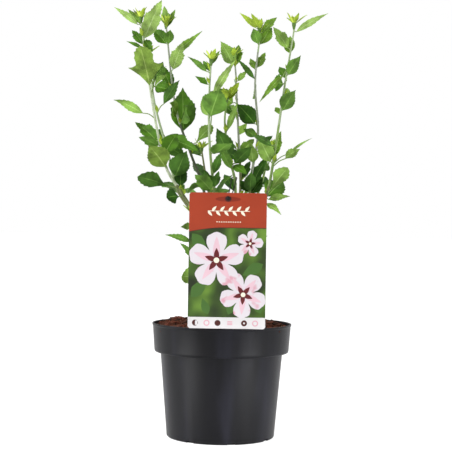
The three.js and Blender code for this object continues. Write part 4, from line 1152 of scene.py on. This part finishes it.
def build_bark(boughs, materials):
    bunch = Bunch()
    points, radii = trunk_line(FINE_HEIGHTS)
    for height, share in TRUNK_HEAD:
        points.append(point(*TRUNK.top, TRUNK.top_height + height))
        radii.append(TRUNK.top_radius * share)
    brown, olive = (slot_of(STEM_LOOKS, look) for look in ("brown", "olive"))
    build_limb(bunch, points, radii, BARK.trunk_relief, SIDES.trunk, brown)
    for bough in boughs:
        line = smooth_line(bough.points, 3)
        low, high = line[0][2], line[-1][2]
        radii = taper(line, bough.foot_radius, BOUGH.tip_radius)
        collars = [1 + BARK.collar * math.exp(-(p[2] - low) / BARK.collar_height) for p in line]
        radii = [r * collar for r, collar in zip(radii, collars)]
        change = within((low, high), BARK.brown_share)
        slots = [brown if p[2] < change else olive for p in line[1:]]
        build_limb(bunch, line, radii, BARK.bough_relief, SIDES.bough, slots)
    nodes = ["trunk", *("bough_" + bough.name for bough in boughs)]
    bunch.add_piece("bark", materials, "bark", nodes, sharp=70)


# Pot and soil


def rounded(corners):
    """A profile through corners (radius, height, rounding), each corner turned into a small arc."""
    profile = []
    for i, (r, z, rounding) in enumerate(corners):
        here = np.array([r, z], float)
        if rounding == 0:
            profile.append(here)
            continue
        start = here + unit(corners[i - 1][:2] - here) * rounding
        end = here + unit(corners[i + 1][:2] - here) * rounding
        for t in np.linspace(0, 1, 6):
            profile.append((1 - t) ** 2 * start + 2 * t * (1 - t) * here + t**2 * end)
    return profile


def cut_out(mesh, cutter):
    """The mesh with the cutter's space taken away."""
    body = link(bpy.data.objects.new("body_to_cut", mesh))
    tool = link(bpy.data.objects.new("cutter", cutter))
    modifier = body.modifiers.new("cut", "BOOLEAN")
    modifier.operation = "DIFFERENCE"
    modifier.object = tool
    modifier.solver = "EXACT"
    graph = bpy.context.evaluated_depsgraph_get()
    result = bpy.data.meshes.new_from_object(body.evaluated_get(graph))
    bpy.data.objects.remove(body)
    bpy.data.objects.remove(tool)
    return result


def drain_cutter():
    """Blocks that cut the drain slots into the pot's foot, narrower at their top."""
    bm = bmesh.new()
    for k in range(DRAIN.count):
        turn = math.radians(DRAIN.turn + 360 * k / DRAIN.count)
        c, s = math.cos(turn), math.sin(turn)
        for vertex in bmesh.ops.create_cube(bm, size=1)["verts"]:
            x, y, z = vertex.co
            x *= DRAIN.width * (1 if z < 0 else DRAIN.top_share)
            y = y * DRAIN.depth + POT.base_radius
            z *= DRAIN.height * 2
            vertex.co = Vector((x * c - y * s, x * s + y * c, z)) * MM
    mesh = bpy.data.meshes.new("drains")
    bm.to_mesh(mesh)
    bm.free()
    return mesh


def build_pot(material):
    shell = make_mesh("pot_shell", *revolve(rounded(POT_CORNERS), POT.segments))
    mesh = cut_out(shell, drain_cutter())
    mesh.materials.clear()
    mesh.materials.append(material)
    add_piece("pot_shell", mesh, ["pot"], sharp=35)


def soil_height(x, y):
    """The mounded, crumbly top of the soil."""
    height = SOIL_LEVEL
    for at_x, at_y, width, top in SOIL_HEAPS:
        height += top * math.exp(-((x - at_x) ** 2 + (y - at_y) ** 2) / width**2)
    for fineness, level, depth in SOIL_NOISE:
        height += depth * noise.noise((x * fineness, y * fineness, level))
    return height


def build_soil(materials):
    """The soil as one bed that fills the pot, strewn with chips."""
    clear = SOIL.clear
    share = (SOIL_LEVEL - STEP) / (POT.height - STEP)
    edge = between(BAND, RIM - SOIL.lip, share) - clear
    foot, step = POT.corner_radius + POT.floor + clear, STEP + clear
    profile = [(0, foot), (BASE - clear, foot), (BODY - clear, step), (BAND - clear, step)]
    profile += [(edge * i / SOIL.rings, soil_height) for i in range(SOIL.rings, -1, -1)]
    mesh = make_mesh("soil_bed", *revolve(profile, SOIL.segments), materials[:1])
    add_piece("soil_bed", mesh, ["soil"], sharp=80)
    draw = random_source(CHIPS.seed)
    chips = Bunch()
    for _ in range(CHIPS.count):
        r, turn = (edge - CHIPS.edge_room) * math.sqrt(draw()), 2 * math.pi * draw()
        x, y = r * math.cos(turn), r * math.sin(turn)
        length = within(CHIPS.length, draw() ** CHIPS.length_curve)
        build_chip(chips, point(x, y, soil_height(x, y) + CHIPS.lift), length, draw)
    chips.add_piece("soil_chips", materials, "soil", ["soil"], sharp=30)


def build_chip(bunch, centre, length, draw):
    """One flat, uneven flake of bark or strand of coir."""
    strand = draw() < CHIPS.strand_share
    width = length * (CHIPS.strand_width if strand else within(CHIPS.width, draw()))
    height = CHIPS.strand_height if strand else within(CHIPS.height, draw())
    azimuth, tilt = 360 * draw(), CHIPS.tilt * (draw() - 0.5)
    along = heading(azimuth, tilt, 1)
    side = side_of(along, CHIPS.lean * (draw() - 0.5))
    face = np.cross(side, along)
    points = []
    for s, w in CHIP_SHAPE:
        for a, b in ((1, 1), (1, -1), (-1, -1), (-1, 1)):
            across = side * a * width * w * within(CHIPS.ragged, draw()) / 2
            points.append(centre + along * s * length + across + face * b * height / 2)
    # Rows of four points, closed at both ends and joined along their sides
    last = len(points) - 4
    faces = [(3, 2, 1, 0), (last, last + 1, last + 2, last + 3)]
    for a in range(last):
        b = a + 1 if a % 4 < 3 else a - 3
        faces.append((a, b, b + 4, a + 4))
    straw = slot_of(SOIL_LOOKS, "straw")
    slot = straw if strand and draw() < CHIPS.straw_share else int(draw() * straw)
    bunch.add(points, faces, slot)


# Picture card, with a plain design of its own


def card_points(u, v, lift):
    """Places on the card: u across from its middle, v up from its foot, lift towards the viewer."""
    bow = CARD_BEND.bow * (u / CARD_BEND.bow_at) ** 2
    curl = np.maximum(u - CARD_BEND.curl_from, 0) / CARD_BEND.curl_width
    curl = curl * np.maximum(CARD_BEND.curl_height - v, 0) / CARD_BEND.curl_height
    y = CARD.y + bow - CARD_BEND.curl * curl**1.5 - lift
    return np.stack(np.broadcast_arrays(CARD.centre_x + u, y, CARD_FOOT + v), -1)


def corner_drop(u):
    """How far the card's edge draws in at a round corner."""
    beyond = np.maximum(np.abs(u) - (CARD.width / 2 - CARD.corner), 0)
    return CARD.corner - np.sqrt(np.maximum(CARD.corner**2 - beyond**2, 0))


def band_foot(u):
    """Height of the band's lower edge, which sweeps down to the left."""
    beyond = np.maximum((CARD_ART.dip_from - u) / CARD_ART.dip_width, 0)
    return CARD_ART.band_foot - CARD_ART.band_dip * beyond**CARD_ART.dip_curve


def build_panel(bunch, u, bottom, top, lift, depth, look):
    """A thin panel of the card between two edges, given as heights over u."""
    v = between(bottom, top, np.linspace(0, 1, len(u))[:, None])
    layers = [card_points(u, v, layer).reshape(-1, 3) for layer in (lift, lift - depth)]
    bunch.add(np.vstack(layers), sheet_faces(len(u), len(u))[0], slot_of(CARD_LOOKS, look))


def build_shape(bunch, centre, outline, lift, look):
    """A flat star-shaped patch round its centre, as three rings that follow the card."""
    centre, outline = np.array(centre, float), np.array(outline, float)
    count = len(outline)
    points = [card_points(*centre, lift)]
    for share, drop in PATCH_RINGS:
        points.append(card_points(*between(centre, outline, share).T, lift - drop))
    faces = []
    for k in range(count):
        a, b = 1 + k, 1 + (k + 1) % count
        faces.append((0, a, b))
        faces += [(a + ring, a + ring + count, b + ring + count, b + ring) for ring in (0, count)]
    bunch.add(np.vstack(points), faces, slot_of(CARD_LOOKS, look))


def build_disc(bunch, centre, radius, lift, look, count=24, squash=1.0):
    turns = 2 * np.pi * np.arange(count) / count
    offsets = np.stack([radius * np.cos(turns), radius * squash * np.sin(turns)], -1)
    build_shape(bunch, centre, centre + offsets, lift, look)


def build_box(bunch, centre, length, height, lift, look):
    """A rectangle, with points along its long edges so that it follows the card."""
    across = np.linspace(-length / 2, length / 2, 7)
    lower = [(a, -height / 2) for a in across]
    upper = [(a, height / 2) for a in across[::-1]]
    build_shape(bunch, centre, centre + np.array(lower + upper), lift, look)


def lay_shape(bunch, shape, foot, angle, length, width, lift, look):
    """A leaf or petal of the design, laid along an angle from its foot."""
    turn = math.radians(angle)
    along = np.array([math.cos(turn), math.sin(turn)]) * length
    across = np.array([-math.sin(turn), math.cos(turn)]) * width
    build_shape(bunch, foot + along * 0.5, foot + np.array(shape) @ [along, across], lift, look)


def petal_shape():
    """An egg-shaped petal with a softly waved outer edge."""
    turns = 2 * np.pi * np.arange(PETAL.points) / PETAL.points
    wave = PETAL.wave * np.cos(PETAL.waves * turns)
    along = 0.5 + PETAL.wave + (0.5 - PETAL.wave) * np.cos(turns) + wave
    across = np.sin(turns) * (PETAL.half_width + PETAL.outward * np.cos(turns))
    return np.stack([along, across], -1)


def build_blossom(bunch, u, v, size, turn, lift):
    """A plain flower, each petal with a tint and a dark eye on it."""
    layers = [ # outline, length and width, lift, its growth from petal to petal, and look
        (petal_shape(), (1, BLOSSOM.width), 0, STEP_UP, "petal"),
        (LEAF_SHAPE, BLOSSOM.tint, BLOSSOM_LIFTS.tint, 0, "tint"),
        (LEAF_SHAPE, BLOSSOM.eye, BLOSSOM_LIFTS.eye, 0, "eye"),
    ]
    for shape, (length, width), raised, step, look in layers:
        for k in range(BLOSSOM.petals):
            sizes = (size * length, size * width, lift + raised + step * k)
            lay_shape(bunch, shape, (u, v), turn + 360 / BLOSSOM.petals * k, *sizes, look)
    build_disc(bunch, (u, v), size * BLOSSOM.heart, lift + BLOSSOM_LIFTS.heart, "cream")


def build_symbol(bunch, u, kind, lift):
    """One of the small plain marks along the card's foot."""
    v, radius = SYMBOL.v, SYMBOL.radius
    if kind == "bars":
        for k in (-1, 0, 1):
            place = (u, v + SYMBOL.bar_step * k)
            build_box(bunch, place, SYMBOL.bar_length, SYMBOL.bar_height, lift, "blush")
        return
    build_disc(bunch, (u, v), radius, lift, "blush" if kind == "ring" else "mark")
    if kind == "half":
        shift, length, height = (radius * share for share in SYMBOL.half)
        build_box(bunch, (u + shift, v), length, height, lift + INK, "strip")
    elif kind != "disc":
        hole = SYMBOL.hole if kind == "ring" else SYMBOL.eye
        build_disc(bunch, (u, v), hole, lift + INK, "strip")


def build_garland(bunch, lift):
    """A row of small paired leaves on a thin stem, with a dotted line under it."""
    v, start, end = GARLAND.v, GARLAND.start, GARLAND.end
    build_box(bunch, ((start + end) / 2, v), end - start, GARLAND.stem, lift, "cream")
    last = end - GARLAND.length * GARLAND.last_room
    for k, u in enumerate(np.linspace(start, last, GARLAND.leaves)):
        sizes = (GARLAND.length, GARLAND.width, lift + GARLAND.raised)
        lay_shape(bunch, LEAF_SHAPE, (u, v), GARLAND.rise * (1 if k % 2 else -1), *sizes, "cream")
    for u in np.linspace(UNDERLINE.start, UNDERLINE.end, UNDERLINE.dots):
        build_disc(bunch, (u, UNDERLINE.v), UNDERLINE.radius, lift, "cream", 10)


def build_card(materials):
    """The card's stock, the printed panels on it, the design on those, and the painted shade round the
    tie's knob.
    """
    bunch = Bunch()
    half, depth, inset = CARD.width / 2, CARD.thickness, CARD_ART.inset
    u = np.linspace(-half, half, CARD_ART.cells + 1)
    build_panel(bunch, u, corner_drop(u), CARD.height - corner_drop(u), depth / 2, depth, "stock")
    u = np.linspace(inset - half, half - inset, CARD_ART.cells + 1)
    edge, band = corner_drop(u) + inset, band_foot(u)
    levels = [edge, CARD_ART.strip_top, band - CARD_ART.edge_line, band, CARD.height - edge]
    face = depth / 2 + INK
    design = face + INK
    for look, bottom, top in zip(("strip", "field", "mark", "band"), levels, levels[1:]):
        build_panel(bunch, u, bottom, top, face, CARD_ART.depth, look)
    for u, v, angle, length, width in CARD_ART.leaves:
        lay_shape(bunch, LEAF_SHAPE, (u, v), angle, length, width, design, "leaf")
    for k, blossom in enumerate(CARD_ART.blossoms):
        build_blossom(bunch, *blossom, design + INK + STEP_UP * k)
    for u, kind in SYMBOLS:
        build_symbol(bunch, u, kind, design)
    build_garland(bunch, design)
    # Painted shade round the tie's knob: a wide flat oval for the dimple's shadow and a small darker one
    # right round the knob
    for k, (look, radius, squash, drop) in enumerate(TIE_PAINTED_SHADES):
        place = (0, CARD.height - CARD.hole_drop - drop)
        build_disc(bunch, place, radius, design + STEP_UP * k, look, 32, squash)
    bunch.add_piece("card_face", materials, "card", ["picture_card"], sharp=40)


def tie_line(stem_point):
    """The tie's loop, from behind the card, round the middle stem and back."""
    near = point(CARD.centre_x, CARD.y + CARD.thickness + TIE.near_half + 1, HOLE_LEVEL)
    along = unit(stem_point - near)
    side = unit(np.cross(along, UP))
    line = []
    for end, half, sign in ((near, TIE.near_half, -1), (stem_point, TIE.far_half, 1)):
        for i in range(TIE.steps + 1):
            turn = math.pi * i / TIE.steps
            line.append(end + (along * math.sin(turn) + side * math.cos(turn)) * sign * half)
        for i in range(1, TIE.steps):
            share = i / TIE.steps if sign < 0 else 1 - i / TIE.steps
            offset = side * sign * between(TIE.near_half, TIE.far_half, share)
            sag = UP * TIE.sag * math.sin(math.pi * share)
            line.append(between(near, stem_point, share) - offset - sag)
    return line


def build_tie(material, loop):
    """The tie's loop, the knob on the card's face and the neck between them."""
    bunch = Bunch()
    build_tube(bunch, [*loop, loop[0], loop[1]], [TIE.radius] * (len(loop) + 2), SIDES.tie, 0)
    centre = point(CARD.centre_x, CARD.y - CARD.thickness / 2 - GAP, HOLE_LEVEL)
    knob = [centre - point(0, TIE.knob_depth * share, 0) for share, _ in KNOB_SHAPE]
    build_tube(bunch, knob, [TIE.knob_width / 2 * swell for _, swell in KNOB_SHAPE], SIDES.knob, 0)
    back = centre + point(0, TIE.neck_length, 0)
    build_tube(bunch, [back, centre], [TIE.neck_radius] * 2, SIDES.tie, 0)
    bunch.add_piece("tie", [material], "tie", ["card_tie"], sharp=40)


# Stage, light and camera


def build_stage():
    half = FLOOR.half / MM
    corners = [(-half, -half, 0), (half, -half, 0), (half, half, 0), (-half, half, 0)]
    material = plain_material("floor_white", FLOOR.grey, FLOOR_ROUGHNESS, glow=FLOOR.glow)
    mesh = make_mesh("floor", corners, [(0, 1, 2, 3)], [material])
    floor = link(bpy.data.objects.new("floor", mesh))


def build_world():
    """A white studio: lighter behind and above, darker in front, and plain white to the camera."""
    world = bpy.data.worlds.new("studio")
    bpy.context.scene.world = world
    world.use_nodes = True
    tree = world.node_tree
    tree.nodes.clear()
    place = add_node(tree, "TexCoord", {}).outputs["Generated"]
    split = add_node(tree, "SeparateXYZ", {"Vector": place})
    depth = add_node(tree, "MapRange", {
        "Value": split.outputs["Y"], "From Min": WORLD.front_at, "From Max": WORLD.rear_at,
        "To Min": WORLD.front, "To Max": WORLD.rear,
    })
    depth.interpolation_type = "SMOOTHSTEP"
    height = add_node(tree, "MapRange", {"Value": split.outputs["Z"], "To Max": WORLD.top})
    total = add_node(tree, "Math", {0: depth.outputs["Result"], 1: height.outputs["Result"]})
    total.operation = "ADD"
    lit = add_node(tree, "Background", {"Strength": total.outputs["Value"]}).outputs["Background"]
    seen = add_node(tree, "Background", {"Color": WHITE, "Strength": WORLD.seen}).outputs["Background"]
    is_seen = add_node(tree, "LightPath", {}).outputs["Is Camera Ray"]
    mix = add_node(tree, "MixShader", {"Fac": is_seen, 1: lit, 2: seen})
    add_node(tree, "OutputWorld", {"Surface": mix.outputs["Shader"]})


def add_softbox(name, place, aim, size, cone, power):
    lamp = bpy.data.lights.new(name, "AREA")
    lamp.shape = "RECTANGLE"
    lamp.size, lamp.size_y = size
    lamp.spread = math.radians(cone)
    lamp.energy = power
    item = link(bpy.data.objects.new(name, lamp))
    item.location = place
    item.rotation_euler = (Vector(aim) - Vector(place)).to_track_quat("-Z", "Y").to_euler()
    item.visible_camera = False


def add_camera():
    data = bpy.data.cameras.new("camera")
    data.sensor_width = CAMERA.sensor_mm
    data.lens = CAMERA.focal_px * CAMERA.sensor_mm / CAMERA.frame_px
    data.clip_start, data.clip_end = CAMERA.near, CAMERA.far
    item = link(bpy.data.objects.new("camera", data))
    item.location = CAMERA.place
    item.rotation_euler = (math.pi / 2, -CAMERA.roll, 0)
    bpy.context.scene.camera = item


# Building

leaf_materials = [
    leaf_material(part, tone, codes[i])
    for i, part in enumerate(LEAF_PARTS)
    for tone, codes in LEAF_TONES.items()
]
stem_materials = [bark_material(look, *codes) for look, codes in STEM_LOOKS.items()]
boughs, masses = grow_limbs()
middle = next(mass for mass in masses if mass.shoot.name == "middle")
loop = tie_line(point_at_height(middle.stem.points, TIE.stem_height))
limbs.append(Sizes(points=loop))
for mass in masses:
    grow_listed_leaves(mass)
for mass in masses:
    grow_fill(mass)
for mass in masses:
    dress_mass(mass, leaf_materials, stem_materials)
build_bark(boughs, stem_materials)
build_pot(pot_material())
build_soil([soil_material(look, *codes) for look, codes in SOIL_LOOKS.items()])
build_card([card_material(look, code) for look, code in CARD_LOOKS.items()])
build_tie(plain_material("tie_black", linear(TIE_BLACK), *TIE_FINISH), loop)

bpy.context.scene.view_settings.view_transform = "Standard"
build_stage()
build_world()
for lamp in SOFTBOXES:
    add_softbox(*lamp)
add_camera()
